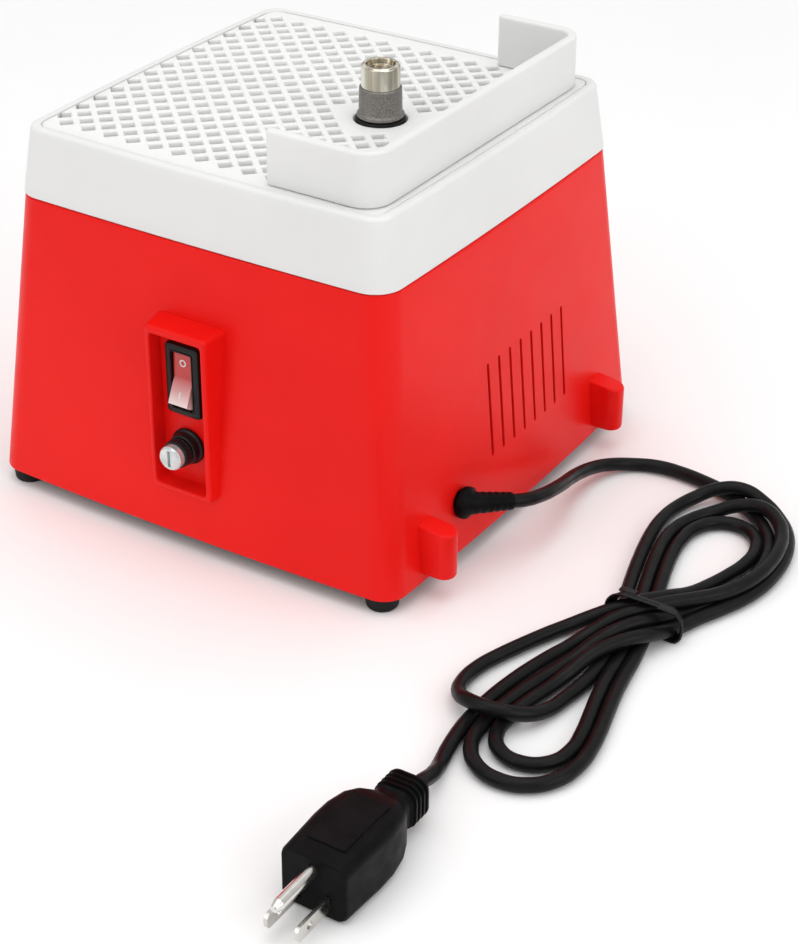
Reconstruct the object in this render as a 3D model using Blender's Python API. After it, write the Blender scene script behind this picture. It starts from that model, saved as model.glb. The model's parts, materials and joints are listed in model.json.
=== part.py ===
"""Bench glass grinder: a tapered housing with a motor inside, a water tray with a lattice worktop, a
splash guard and a vertical grinding bit, with its tied mains lead and plug.

Metres, +Z up. The machine's own frame has X towards the switch pod, Y towards the back, and Z = 0 on
the bench. The empty "machine" shifts it so that the middle of the whole footprint is the origin."""

import math

import bmesh
import bpy
from mathutils import Matrix, Vector

MM = 0.001
GAP = 0.3 * MM
MACHINE_SHIFT = (-4.9 * MM, -6.7 * MM, 0.0)

# Housing
WALL = 2.5 * MM
BASE_Z = 7.0 * MM
DECK_Z = 141.4 * MM
BASE_HALF = (108.4 * MM, 107.5 * MM)
DECK_HALF = (95.6 * MM, 95.1 * MM)
SIDE_BOW = 2.5 * MM
CORNER_R = 11.0 * MM

# Water tray, worktop grid and splash guard
RIM_Z = 172.3 * MM
RIM_HALF = (91.8 * MM, 90.7 * MM)
TRAY_FLOOR = 3.0 * MM
LEDGE_Z = 168.1 * MM
RIM_WALL = 4.0 * MM
GRID_THICK = 3.5 * MM
GRID_CELL = 12.0 * MM
GRID_HOLE = 5.8 * MM
GRID_REACH = 78.0 * MM
GUARD_THICK = 4.5 * MM
GUARD_HEIGHT = 23.6 * MM
GUARD_HALF_X = 86.0 * MM
GUARD_BACK_Y = 84.5 * MM
GUARD_FRONT_Y = 31.6 * MM
GUARD_R = 12.0 * MM

# Spindle, motor and bit, all turned about one vertical axis
AXIS = (0.0, 31.4 * MM)
SHAFT_R = 4.0 * MM
MOTOR_R = 34.0 * MM

# Switch pod on the +X side
POD_Y = 2.5 * MM
POD_FRONT_X = 113.5 * MM
PANEL_X = 106.0 * MM
POD_OPENING = (27.3 * MM, 32.7 * MM, 105.0 * MM)
SWITCH_Z = 83.7 * MM
BEZEL = (17.6 * MM, 33.5 * MM, 3.0 * MM)
ROCKER_R = 13.0 * MM
ROCKER_TILT = math.radians(13)
FUSE_Z = 51.3 * MM

# Back face
VENT_COUNT = 8
VENT_FIRST_X = 25.5 * MM
VENT_PITCH = 9.3 * MM
LUG_X = (80.5 * MM, -70.5 * MM)
LUG_WIDTH = 11.0 * MM
LUG_NOSE_Y = 123.3 * MM
LUG_SPAN_Z = (11.5 * MM, 36.0 * MM)
LUG_DROP = 3.5 * MM
GLAND = (53.3 * MM, 31.0 * MM)

# Feet
FOOT_XY = (99.5 * MM, 97.0 * MM)

# Mains lead, hank and plug
CORD_R = 3.1 * MM
CORD_STEP = 14.0 * MM
TAIL_STEP = 7.0 * MM
WALL_FACE_Y = 107.6 * MM
RELIEF_LEAN = math.radians(52)
RELIEF_DROOP = math.radians(8)
RELIEF_LENGTH = 21.0 * MM
LEAD_ROUTE = [
    (22, 127.5, 24.5), (5, 127, 19.5), (-12, 125.5, 15), (-28, 125.5, 10.5), (-45, 129, 5.5), (-57, 138, 3.5),
    (-61, 150, 3.3), (-60, 160, 3.3), (-56.5, 170, 3.3),
]
TAIL_ROUTE = [
    (183.6, 177.6, 3.4), (188, 178.8, 4.9), (193.5, 181.4, 8.7), (199.5, 182.7, 10.9), (208.5, 182.8, 11),
]
HANK_CENTRE = (58.0 * MM, 193.0 * MM)
HANK_HALF_LENGTH = 125.0 * MM
HANK_END_R = 31.0 * MM
HANK_WAIST_R = 17.0 * MM
HANK_SKEW = 6.0 * MM
HANK_HEIGHT = 13.0 * MM
PLUG_AXIS = (182.8 * MM, 13.0 * MM)
PLUG_BACK_X = 205.7 * MM
PLUG_FACE_X = 273.0 * MM

MATERIALS = {}


def clear_scene():
    for old in list(bpy.data.objects):
        bpy.data.objects.remove(old, do_unlink=True)


def material(name, colour, roughness, metallic=0.0):
    """One Principled material for each name."""
    if name not in MATERIALS:
        made = bpy.data.materials.new(name)
        made.use_nodes = True
        shader = made.node_tree.nodes["Principled BSDF"]
        shader.inputs["Base Color"].default_value = (*colour, 1.0)
        shader.inputs["Roughness"].default_value = roughness
        shader.inputs["Metallic"].default_value = metallic
        MATERIALS[name] = made
    return MATERIALS[name]


def red_plastic():
    return material("red_plastic", (0.72, 0.02, 0.02), 0.4)


def white_plastic():
    return material("white_plastic", (0.84, 0.84, 0.82), 0.4)


def black_plastic():
    return material("black_plastic", (0.02, 0.02, 0.02), 0.35)


def black_rubber():
    return material("black_rubber", (0.025, 0.025, 0.025), 0.75)


def steel():
    return material("steel", (0.62, 0.62, 0.63), 0.3, 1.0)


def aluminium():
    return material("aluminium", (0.75, 0.76, 0.77), 0.45, 1.0)


def add_object(name, bm, finish, parent=None, origin=(0, 0, 0)):
    """Turns a bmesh, drawn about `origin` in the machine's frame, into a named object."""
    bmesh.ops.recalc_face_normals(bm, faces=bm.faces)
    mesh = bpy.data.meshes.new(name)
    bm.to_mesh(mesh)
    bm.free()
    made = bpy.data.objects.new(name, mesh)
    bpy.context.scene.collection.objects.link(made)
    made.location = origin
    made.parent = parent or bpy.data.objects["machine"]
    if finish:
        mesh.materials.append(finish)
        mesh.shade_smooth()
        mesh.set_sharp_from_angle(angle=math.radians(35))
    return made


def pivot(name, location):
    """An empty on a joint's axis, which the pieces that turn about it are parented to."""
    made = bpy.data.objects.new(name, None)
    bpy.context.scene.collection.objects.link(made)
    made.location = location
    if name != "machine":
        made.parent = bpy.data.objects["machine"]
    return made


def combine(target, other, operation):
    """Adds or cuts one object with another, which is then left out of renders."""
    other.hide_render = True
    other.display_type = "WIRE"
    step = target.modifiers.new(operation.lower() + "_" + other.name, "BOOLEAN")
    step.operation = operation
    step.solver = "EXACT"
    step.object = other


def cut(target, *others):
    for other in others:
        combine(target, other, "DIFFERENCE")


def join(target, *others):
    for other in others:
        combine(target, other, "UNION")


def plan_outline(half_x, half_y, radius, bow, corner_steps=4, side_steps=6):
    """A rounded rectangle, anticlockwise, whose sides bow out by `bow` at mid-width."""
    flat = []
    for quarter in range(4):
        turn = quarter * math.pi / 2
        centre_x = (half_x - radius) * (1 if quarter in (0, 3) else -1)
        centre_y = (half_y - radius) * (1 if quarter in (0, 1) else -1)
        for i in range(corner_steps + 1):
            angle = turn + i / corner_steps * math.pi / 2
            flat.append((centre_x + radius * math.cos(angle), centre_y + radius * math.sin(angle)))
        next_x = (half_x - radius) * (1 if quarter in (3, 2) else -1)
        next_y = (half_y - radius) * (1 if quarter in (0, 3) else -1)
        end_turn = turn + math.pi / 2
        end = (next_x + radius * math.cos(end_turn), next_y + radius * math.sin(end_turn))
        start = flat[-1]
        for i in range(1, side_steps):
            share = i / side_steps
            flat.append(tuple(a + share * (b - a) for a, b in zip(start, end)))
    bowed = []
    for x, y in flat:
        out_x = bow * (1 - (y / half_y) ** 2) * x / half_x
        out_y = bow * (1 - (x / half_x) ** 2) * y / half_y
        bowed.append((x + out_x, y + out_y))
    return bowed


def lofted(rings):
    """A closed solid through rings of equally many points, with flat ends."""
    bm = bmesh.new()
    layers = [[bm.verts.new(point) for point in ring] for ring in rings]
    for low, high in zip(layers, layers[1:]):
        for i in range(len(low)):
            j = (i + 1) % len(low)
            bm.faces.new((low[i], low[j], high[j], high[i]))
    bm.faces.new(layers[0])
    bm.faces.new(layers[-1])
    return bm


def casing_ring(z, inset=0.0, bow=SIDE_BOW):
    """The housing's plan at a height, following its taper, moved in by `inset`."""
    share = (z - BASE_Z) / (DECK_Z - BASE_Z)
    half_x = BASE_HALF[0] + share * (DECK_HALF[0] - BASE_HALF[0]) - inset
    half_y = BASE_HALF[1] + share * (DECK_HALF[1] - BASE_HALF[1]) - inset
    return [(x, y, z) for x, y in plan_outline(half_x, half_y, CORNER_R - inset, bow)]


def slab(half_x, half_y, radius, low, high):
    plan = plan_outline(half_x, half_y, radius, 0.0)
    return lofted([[(x, y, z) for x, y in plan] for z in (low, high)])


def box(low, high):
    bm = bmesh.new()
    size = [b - a for a, b in zip(low, high)]
    middle = [(a + b) / 2 for a, b in zip(low, high)]
    place = Matrix.Translation(middle) @ Matrix.Diagonal((*size, 1.0))
    bmesh.ops.create_cube(bm, size=1.0, matrix=place)
    return bm


def turned(profile, segments=32, closed=True):
    """Turns (radius, z) points about Z. A profile that touches the axis closes there."""
    bm = bmesh.new()
    rings = []
    for radius, z in profile:
        if radius < 1e-7:
            rings.append([bm.verts.new((0, 0, z))])
        else:
            angles = [2 * math.pi * i / segments for i in range(segments)]
            rings.append([bm.verts.new((radius * math.cos(a), radius * math.sin(a), z)) for a in angles])
    pairs = list(zip(rings, rings[1:]))
    if closed and len(rings[0]) > 1:
        pairs.append((rings[-1], rings[0]))
    for first, second in pairs:
        for i in range(segments):
            j = (i + 1) % segments
            low = [first[k % len(first)] for k in (i, j)]
            high = [second[k % len(second)] for k in (j, i)]
            unique = list(dict.fromkeys(low + high))
            if len(unique) > 2:
                bm.faces.new(unique)
    return bm


def tube_profile(inner, outer, low, high):
    return [(inner, low), (outer, low), (outer, high), (inner, high)]


def rod_profile(radius, low, high):
    return [(0.0, low), (radius, low), (radius, high), (0.0, high)]


def laid_along_x(bm):
    """Turns a solid made about Z so that its axis runs along +X."""
    bmesh.ops.rotate(bm, verts=bm.verts, matrix=Matrix.Rotation(math.pi / 2, 3, "Y"))
    return bm


def laid_along_y(bm):
    """Turns a solid made about Z so that its axis runs along +Y."""
    bmesh.ops.rotate(bm, verts=bm.verts, matrix=Matrix.Rotation(-math.pi / 2, 3, "X"))
    return bm


def cutter(name, bm, origin=(0, 0, 0), parent=None):
    return add_object(name, bm, None, parent, origin)


def housing():
    """The red shell: tapered walls, a top deck, the switch pod, vents, lugs and screw bosses."""
    body = add_object("housing", lofted([casing_ring(BASE_Z), casing_ring(DECK_Z)]), red_plastic())
    join(body, pod_outside())
    for i, x in enumerate(LUG_X):
        join(body, rear_lug("lug_shape_%d" % (i + 1), x))
    inner_top = DECK_Z - WALL
    cut(body, cutter("cavity", lofted([casing_ring(BASE_Z - WALL, WALL), casing_ring(inner_top, WALL)])))
    opening, low, high = POD_OPENING
    recess = box((PANEL_X, POD_Y - opening / 2, low), (POD_FRONT_X + WALL, POD_Y + opening / 2, high))
    hollow_half = opening / 2 - 1.5 * MM
    hollow = box(
        (80 * MM, POD_Y - hollow_half, low + 1.5 * MM),
        (PANEL_X - WALL, POD_Y + hollow_half, high - 1.5 * MM),
    )
    cut(body, cutter("pod_recess", recess), cutter("pod_hollow", hollow))
    switch_hole = box(
        (PANEL_X - 2 * WALL, POD_Y - 7.1 * MM, SWITCH_Z - 14.8 * MM),
        (PANEL_X + WALL, POD_Y + 7.1 * MM, SWITCH_Z + 14.8 * MM),
    )
    fuse_hole = laid_along_x(turned(rod_profile(6.4 * MM, -2 * WALL, WALL), 24))
    cut(body, cutter("switch_hole", switch_hole), cutter("fuse_hole", fuse_hole, (PANEL_X, POD_Y, FUSE_Z)))
    for i in range(VENT_COUNT):
        x = VENT_FIRST_X - i * VENT_PITCH
        slot = box((x - 0.95 * MM, 90 * MM, 40 * MM), (x + 0.95 * MM, 115 * MM, 84 * MM))
        cut(body, cutter("vent_%d" % (i + 1), slot))
    gland_hole = laid_along_y(turned(rod_profile(5.6 * MM, 95 * MM, 118 * MM), 24))
    cut(body, cutter("gland_hole", gland_hole, (GLAND[0], 0, GLAND[1])))
    spindle_hole = turned(rod_profile(12.5 * MM, DECK_Z - 2 * WALL, DECK_Z + WALL), 32)
    cut(body, cutter("deck_hole", spindle_hole, (*AXIS, 0)))
    for name, x, y in corners():
        boss = turned(rod_profile(4.5 * MM, 9.9 * MM, 34 * MM), 16)
        bore = turned(rod_profile(1.9 * MM, 9 * MM, 31 * MM), 12)
        join(body, cutter("boss_" + name, boss, (x, y, 0)))
        cut(body, cutter("boss_bore_" + name, bore, (x, y, 0)))
    return body


def pod_outside():
    """The pod's outer block: it widens a little towards the housing."""
    opening, low, high = POD_OPENING
    front = opening / 2 + 2.2 * MM
    back = front + 2.5 * MM
    bottom, top = low - 2.5 * MM, high + 3.4 * MM
    rings = []
    for x, half in ((95 * MM, back), (POD_FRONT_X, front)):
        left, right = POD_Y - half, POD_Y + half
        rings.append([(x, left, bottom), (x, right, bottom), (x, right, top), (x, left, top)])
    return cutter("pod_block", lofted(rings))


def rear_lug(name, x):
    """An upright lug with a half-round nose, whose top falls away from the wall."""
    radius = LUG_WIDTH / 2
    nose_y = LUG_NOSE_Y - radius
    plan = [(x - radius, 100 * MM), (x + radius, 100 * MM)]
    for i in range(11):
        angle = math.pi * i / 10
        plan.append((x + radius * math.cos(angle), nose_y + radius * math.sin(angle)))
    low, high = LUG_SPAN_Z
    slope = LUG_DROP / (LUG_NOSE_Y - WALL_FACE_Y)
    top = [(px, py, high - slope * (py - WALL_FACE_Y)) for px, py in plan]
    return cutter(name, lofted([[(px, py, low) for px, py in plan], top]))


def corners():
    return [
        (front_back + "_" + side, sx * FOOT_XY[0], sy * FOOT_XY[1])
        for front_back, sy in (("front", -1), ("back", 1))
        for side, sx in (("left", -1), ("right", 1))
    ]


def base_and_feet():
    """The plate that closes the housing from below, on four rubber feet with their screws."""
    plate_top = BASE_Z + 2.6 * MM
    inner = [(x, y) for x, y, _ in casing_ring(BASE_Z, WALL + 0.6 * MM)]
    plate = lofted([[(x, y, z) for x, y in inner] for z in (BASE_Z + 0.3 * MM, plate_top)])
    base = add_object("base_plate", plate, black_plastic())
    for i in range(5):
        x = (i - 2) * 24 * MM
        slot = box((x - 3 * MM, -60 * MM, 0), (x + 3 * MM, 0, 20 * MM))
        cut(base, cutter("base_slot_%d" % (i + 1), slot))
    for name, x, y in corners():
        hole = turned(rod_profile(1.9 * MM, 0, 20 * MM), 12)
        cut(base, cutter("base_hole_" + name, hole, (x, y, 0)))
        foot = [
            (1.9, 4.6), (3.6, 4.6), (3.6, 0.0), (6.4, 0.0), (7.0, 0.5), (7.4, 6.2), (7.0, 7.0), (1.9, 7.0),
        ]
        profile = [(r * MM, z * MM) for r, z in foot]
        add_object("foot_" + name, turned(profile, 24), black_rubber(), origin=(x, y, 0))
        screw = [(0, 2.2), (2.6, 2.2), (3.1, 2.8), (3.1, 4.3), (1.6, 4.3), (1.6, 27), (0.6, 29.5), (0, 29.5)]
        profile = [(r * MM, z * MM) for r, z in screw]
        add_object("foot_screw_" + name, turned(profile, 12), steel(), origin=(x, y, 0))


def tray_ring(z, inset=0.0):
    """The tray's plan at a height: its skirt carries the housing's taper on up to the rim."""
    share = (z - DECK_Z) / (RIM_Z - DECK_Z)
    half_x = DECK_HALF[0] + 0.5 * MM + share * (RIM_HALF[0] - DECK_HALF[0] - 0.5 * MM) - inset
    half_y = DECK_HALF[1] + 0.5 * MM + share * (RIM_HALF[1] - DECK_HALF[1] - 0.5 * MM) - inset
    return [(x, y, z) for x, y in plan_outline(half_x, half_y, CORNER_R - inset / 2, SIDE_BOW * 0.6)]


def water_tray():
    """The white basin: the grid rests on a ledge inside its rim, and a chimney keeps the spindle dry."""
    tray = add_object("water_tray", lofted([tray_ring(DECK_Z + GAP), tray_ring(RIM_Z)]), white_plastic())
    floor_z = DECK_Z + GAP + TRAY_FLOOR
    cut(tray, cutter("basin", lofted([tray_ring(floor_z, 6.5 * MM), tray_ring(RIM_Z + MM, 6.5 * MM)])))
    cut(tray, cutter("grid_seat", lofted([tray_ring(LEDGE_Z, RIM_WALL), tray_ring(RIM_Z + MM, RIM_WALL)])))
    chimney = turned(rod_profile(9.0 * MM, DECK_Z + MM, 161 * MM), 28)
    join(tray, cutter("chimney", chimney, (*AXIS, 0)))
    bore = turned(rod_profile(6.0 * MM, DECK_Z - MM, 170 * MM), 28)
    cut(tray, cutter("chimney_bore", bore, (*AXIS, 0)))


def worktop_grid():
    """The lattice plate inside the rim. Its drain holes stand on their corners, in staggered rows."""
    low = LEDGE_Z + GAP
    inset = RIM_WALL + 0.5 * MM
    plan = [(x, y) for x, y, _ in tray_ring(RIM_Z, inset)]
    plate = lofted([[(x, y, z) for x, y in plan] for z in (low, low + GRID_THICK)])
    grid = add_object("worktop_grid", plate, white_plastic())
    cut(grid, cutter("bit_hole", turned(rod_profile(12.8 * MM, low - MM, RIM_Z + MM), 32), (*AXIS, 0)))
    cut(grid, cutter("drain_holes", drain_holes(low - MM, low + GRID_THICK + MM)))


def drain_holes(low, high):
    """Square cutters on every second crossing of the lattice, clear of the bit and the splash guard."""
    bm = bmesh.new()
    reach = int(GRID_REACH // GRID_CELL)
    half = GRID_HOLE / math.sqrt(2)
    for column in range(-reach, reach + 1):
        for row in range(-reach, reach + 1):
            x, y = column * GRID_CELL, row * GRID_CELL
            near_bit = math.hypot(x - AXIS[0], y - AXIS[1]) < 22 * MM
            if near_bit or (column + row) % 2:
                continue
            square = [(x + half, y), (x, y + half), (x - half, y), (x, y - half)]
            bottom = [bm.verts.new((px, py, low)) for px, py in square]
            top = [bm.verts.new((px, py, high)) for px, py in square]
            bm.faces.new(bottom)
            bm.faces.new(top)
            for i in range(4):
                j = (i + 1) % 4
                bm.faces.new((bottom[i], bottom[j], top[j], top[i]))
    return bm


def guard_outline():
    """The U-shaped wall in plan, with round corners and round leg ends."""
    outer, inner = [], []
    inner_r = GUARD_R - GUARD_THICK
    centre_x, centre_y = GUARD_HALF_X - GUARD_R, GUARD_BACK_Y - GUARD_R
    for side in (1, -1):
        sweep = range(7) if side == 1 else range(6, -1, -1)
        for i in sweep:
            angle = i / 6 * math.pi / 2
            turn = (math.cos(angle), math.sin(angle))
            outer.append((side * (centre_x + GUARD_R * turn[0]), centre_y + GUARD_R * turn[1]))
            inner.append((side * (centre_x + inner_r * turn[0]), centre_y + inner_r * turn[1]))
    middle_x = GUARD_HALF_X - GUARD_THICK / 2
    radius = GUARD_THICK / 2
    end_y = GUARD_FRONT_Y + radius

    def leg_end(side):
        turns = [math.pi + math.pi * i / 6 for i in range(7)]
        return [(side * middle_x + radius * math.cos(a), end_y + radius * math.sin(a)) for a in turns]

    return leg_end(1) + outer + leg_end(-1) + inner[::-1]


def splash_guard():
    """The wall behind the bit. It stands on the grid, and lifts off."""
    low = LEDGE_Z + GAP + GRID_THICK + GAP
    plan = guard_outline()
    wall = lofted([[(x, y, z) for x, y in plan] for z in (low, low + GUARD_HEIGHT)])
    add_object("splash_guard", wall, white_plastic())


def bit_and_spindle(spindle):
    """Everything that spins: spindle, rotor, fan, slinger and the grinding bit, and the bit's screw."""
    def spun(name, profile, finish, segments=32):
        points = [(r * MM, z * MM) for r, z in profile]
        return add_object(name, turned(points, segments), finish, spindle)

    shaft = [(0, 48), (3.4, 48), (4.0, 48.6), (4.0, 191.9), (3.4, 192.5), (0, 192.5)]
    spun("spindle", shaft, steel(), 24)
    brass = material("nickel_brass", (0.75, 0.68, 0.5), 0.25, 1.0)
    core = [(4.3, 173.2), (8.5, 173.2), (8.5, 195.6), (7.9, 196.5), (6.0, 196.5), (5.8, 193.8), (4.3, 193.8)]
    bit = spun("bit_core", core, brass, 40)
    grit = material("diamond_grit", (0.28, 0.27, 0.26), 0.7, 0.4)
    spun("diamond_sleeve", [(8.8, 173.2), (9.4, 173.2), (9.4, 186.2), (8.8, 186.2)], grit, 40)
    collar = [
        (4.3, 163.5), (9.6, 163.5), (9.6, 156.5), (11.2, 156.5), (11.6, 171.6), (11.0, 172.8), (4.3, 172.8),
    ]
    spun("shaft_slinger", collar, black_rubber(), 32)
    hole = laid_along_x(turned(rod_profile(1.7 * MM, -12 * MM, -3 * MM), 12))
    cut(bit, cutter("set_screw_hole", hole, (0, 0, 189.2 * MM), spindle))
    screw = laid_along_x(turned(rod_profile(1.4 * MM, -8.3 * MM, -4.6 * MM), 12))
    add_object("bit_set_screw", screw, steel(), spindle, (0, 0, 189.2 * MM))
    spun("rotor_core", tube_profile(4.3, 18.6, 80, 114), steel(), 32)
    fan_parts(spindle)


def fan_parts(spindle):
    """The cooling fan under the motor: a hub with flat radial blades."""
    blades, steps = 8, 6
    plan = []
    for i in range(blades * steps):
        angle = 2 * math.pi * i / (blades * steps)
        radius = 27 * MM if i % steps < 2 else 9 * MM
        plan.append((radius * math.cos(angle), radius * math.sin(angle)))
    fan = lofted([[(x, y, z) for x, y in plan] for z in (50 * MM, 56 * MM)])
    piece = add_object("cooling_fan", fan, black_plastic(), spindle)
    cut(piece, cutter("fan_bore", turned(rod_profile(4.3 * MM, 49 * MM, 57 * MM), 24), (0, 0, 0), spindle))


def motor():
    """The fixed half of the motor, hung under the deck on a steel plate by four long screws."""
    def fixed(name, profile, finish, segments=32):
        points = [(r * MM, z * MM) for r, z in profile]
        return add_object(name, turned(points, segments), finish, origin=(*AXIS, 0))

    copper = material("copper_wire", (0.6, 0.26, 0.1), 0.4, 1.0)
    core = fixed("stator_core", tube_profile(19.2, MOTOR_R / MM, 80, 114), steel())
    fixed("winding_upper", tube_profile(20.5, 28, 114.3, 120), copper)
    fixed("winding_lower", tube_profile(20.5, 28, 74, 79.7), copper)
    upper = [
        (9.3, 128), (9.3, 135.6), (12, 135.6), (12, 130), (34, 130), (34, 114.3), (30, 114.3), (30, 125),
        (7, 125), (7, 128),
    ]
    lower = [
        (9.3, 66), (9.3, 59), (12, 59), (12, 63.5), (34, 63.5), (34, 79.7), (30, 79.7), (30, 69),
        (7, 69), (7, 66),
    ]
    brackets = [
        fixed("motor_bracket_upper", upper, aluminium()),
        fixed("motor_bracket_lower", lower, aluminium()),
    ]
    bronze = material("bronze", (0.55, 0.35, 0.15), 0.4, 1.0)
    fixed("bearing_upper", tube_profile(4.08, 9.0, 128.3, 135.3), bronze, 28)
    fixed("bearing_lower", tube_profile(4.08, 9.0, 59.3, 65.7), bronze, 28)
    plate = slab(42 * MM, 42 * MM, 6 * MM, 136.2 * MM, 138.6 * MM)
    plate_piece = add_object("motor_plate", plate, steel(), origin=(*AXIS, 0))
    cut(plate_piece, cutter("plate_hole", turned(rod_profile(12.5 * MM, 130 * MM, 140 * MM), 28), (*AXIS, 0)))
    for i in range(4):
        angle = math.pi / 4 + i * math.pi / 2
        place = (AXIS[0] + 31.8 * MM * math.cos(angle), AXIS[1] + 31.8 * MM * math.sin(angle), 0)
        for target in (core, plate_piece, *brackets):
            hole = turned(rod_profile(1.75 * MM, 50 * MM, 150 * MM), 10)
            cut(target, cutter("hole_%d_%s" % (i + 1, target.name), hole, place))
        screw = [(0, 60.3), (2.9, 60.3), (2.9, 63.2), (1.4, 63.2), (1.4, 138.4), (0, 138.4)]
        profile = [(r * MM, z * MM) for r, z in screw]
        add_object("motor_screw_%d" % (i + 1), turned(profile, 10), steel(), origin=place)


def switch_parts():
    """The rocker switch in the pod: a bezel and body with two terminals, and the lit rocker."""
    width, height, depth = BEZEL
    front = PANEL_X + GAP + depth
    bezel = box(
        (PANEL_X + GAP, POD_Y - width / 2, SWITCH_Z - height / 2),
        (front, POD_Y + width / 2, SWITCH_Z + height / 2),
    )
    body = add_object("switch_body", bezel, black_plastic())
    rear = box(
        (85 * MM, POD_Y - 6.8 * MM, SWITCH_Z - 14.4 * MM),
        (PANEL_X + 1.5 * MM, POD_Y + 6.8 * MM, SWITCH_Z + 14.4 * MM),
    )
    join(body, cutter("switch_rear", rear))
    for i, z in enumerate((SWITCH_Z - 6 * MM, SWITCH_Z + 6 * MM)):
        tab = box((77 * MM, POD_Y - 3.1 * MM, z - 0.4 * MM), (86 * MM, POD_Y + 3.1 * MM, z + 0.4 * MM))
        join(body, cutter("switch_tab_%d" % (i + 1), tab))
    well = box(
        (front - 13.5 * MM, POD_Y - 5.3 * MM, SWITCH_Z - 13.4 * MM),
        (front + MM, POD_Y + 5.3 * MM, SWITCH_Z + 13.4 * MM),
    )
    cut(body, cutter("switch_well", well))
    lamp_red = material("lamp_red", (0.8, 0.02, 0.02), 0.2)
    hinge = pivot("rocker_pivot", (front - 4.8 * MM, POD_Y, SWITCH_Z))
    side = rocker_profile()
    bm = lofted([[(x, y, z) for x, z in side] for y in (-4.9 * MM, 4.9 * MM)])
    bmesh.ops.rotate(bm, verts=bm.verts, matrix=Matrix.Rotation(-ROCKER_TILT, 3, "Y"))
    add_object("rocker_button", bm, lamp_red, hinge)


def rocker_profile():
    """The rocker's side in (X, Z) about its pin: round ends, a shallow V in front, a keel behind."""
    ends = [math.radians(a) for a in (62, 76, 90)]
    upper = [(ROCKER_R * math.cos(a), ROCKER_R * math.sin(a)) for a in ends]
    lower = [(x, -z) for x, z in upper[::-1]]
    return [(3.7 * MM, 0.0), *upper, (-4 * MM, 5 * MM), (-4 * MM, -5 * MM), *lower]


def fuse_parts():
    """The panel fuse holder with its nut, the fuse inside it, and the slotted cap."""
    origin = (PANEL_X, POD_Y, FUSE_Z)
    holder = [
        (3.9, 5.8), (3.9, -22), (3.2, -22), (3.2, -26), (6.0, -26), (6.0, 0.3), (8.3, 0.3), (8.3, 1.6),
        (7.6, 2.3), (6.6, 2.3), (6.4, 5.8),
    ]
    profile = [(r * MM, z * MM) for r, z in holder]
    add_object("fuse_holder", laid_along_x(turned(profile, 28)), black_plastic(), origin=origin)
    nut = laid_along_x(turned(rod_profile(9.2 * MM, -6.0 * MM, -2.9 * MM), 6))
    nut_piece = add_object("fuse_nut", nut, black_plastic(), origin=origin)
    nut_bore = laid_along_x(turned(rod_profile(6.3 * MM, -8 * MM, 0), 28))
    cut(nut_piece, cutter("fuse_nut_bore", nut_bore, origin))
    glass = material("fuse_glass", (0.7, 0.75, 0.75), 0.1)
    fuse = laid_along_x(turned(rod_profile(2.6 * MM, -21 * MM, -1 * MM), 16))
    add_object("fuse", fuse, glass, origin=origin)
    cap = [(0, -0.4), (3.5, -0.4), (3.5, 6.1), (5.4, 6.1), (5.6, 6.6), (5.6, 13.6), (4.9, 14.6), (0, 14.6)]
    profile = [(r * MM, z * MM) for r, z in cap]
    clear = material("clear_plastic", (0.6, 0.62, 0.62), 0.2)
    turn = pivot("fuse_cap_axis", origin)
    piece = add_object("fuse_cap", laid_along_x(turned(profile, 28)), clear, turn)
    slot = box((13.2 * MM, -0.7 * MM, -4.2 * MM), (15.5 * MM, 0.7 * MM, 4.2 * MM))
    cut(piece, cutter("fuse_cap_slot", slot, (0, 0, 0), turn))


def smooth_route(points, step):
    """Evenly spaced points along a Catmull-Rom curve through the route's own points."""
    route = [Vector(p) for p in points]
    padded = [2 * route[0] - route[1], *route, 2 * route[-1] - route[-2]]
    fine = []
    for a, b, c, d in zip(padded, padded[1:], padded[2:], padded[3:]):
        for i in range(24):
            t = i / 24
            bend = (2 * a - 5 * b + 4 * c - d) * t ** 2 + (3 * b - a - 3 * c + d) * t ** 3
            fine.append(0.5 * (2 * b + (c - a) * t + bend))
    fine.append(route[-1])
    length = sum((q - p).length for p, q in zip(fine, fine[1:]))
    count = max(2, round(length / step))
    even, gone, index = [fine[0]], 0.0, 0
    for i in range(1, count):
        wanted = length * i / count
        while gone + (fine[index + 1] - fine[index]).length < wanted:
            gone += (fine[index + 1] - fine[index]).length
            index += 1
        share = (wanted - gone) / (fine[index + 1] - fine[index]).length
        even.append(fine[index].lerp(fine[index + 1], share))
    return [*even, fine[-1]]


def cable(name, points, radius, finish, step=CORD_STEP):
    """A round cable along a route: a poly curve with a bevel and filled ends."""
    route = smooth_route(points, step)
    curve = bpy.data.curves.new(name, "CURVE")
    curve.dimensions = "3D"
    curve.bevel_depth = radius
    curve.bevel_resolution = 2
    curve.use_fill_caps = True
    spline = curve.splines.new("POLY")
    spline.points.add(len(route) - 1)
    for point, place in zip(spline.points, route):
        point.co = (*place, 1.0)
    curve.materials.append(finish)
    made = bpy.data.objects.new(name, curve)
    bpy.context.scene.collection.objects.link(made)
    made.parent = bpy.data.objects["machine"]
    return made


def in_mm(route):
    return [tuple(value * MM for value in point) for point in route]


def internal_leads():
    """The three leads inside: gland to fuse, fuse to switch, and switch to motor."""
    leads = {
        "lead_gland_to_fuse": [
            (53.3, 101, 31), (53.3, 88, 31), (56, 60, 34), (60, 28, 42), (66, 8, 49), (79.4, 2.5, 51.3),
        ],
        "lead_fuse_to_switch": [(76, -3, 46), (66, -5, 50), (62, -4, 62), (66, 0, 73), (74, 2.5, 77.7)],
        "lead_switch_to_motor": [(74, 2.5, 89.7), (66, 6, 91), (52, 16, 94), (36.5, 25, 96)],
    }
    for name, route in leads.items():
        cable(name, in_mm(route), 1.4 * MM, black_rubber())


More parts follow.
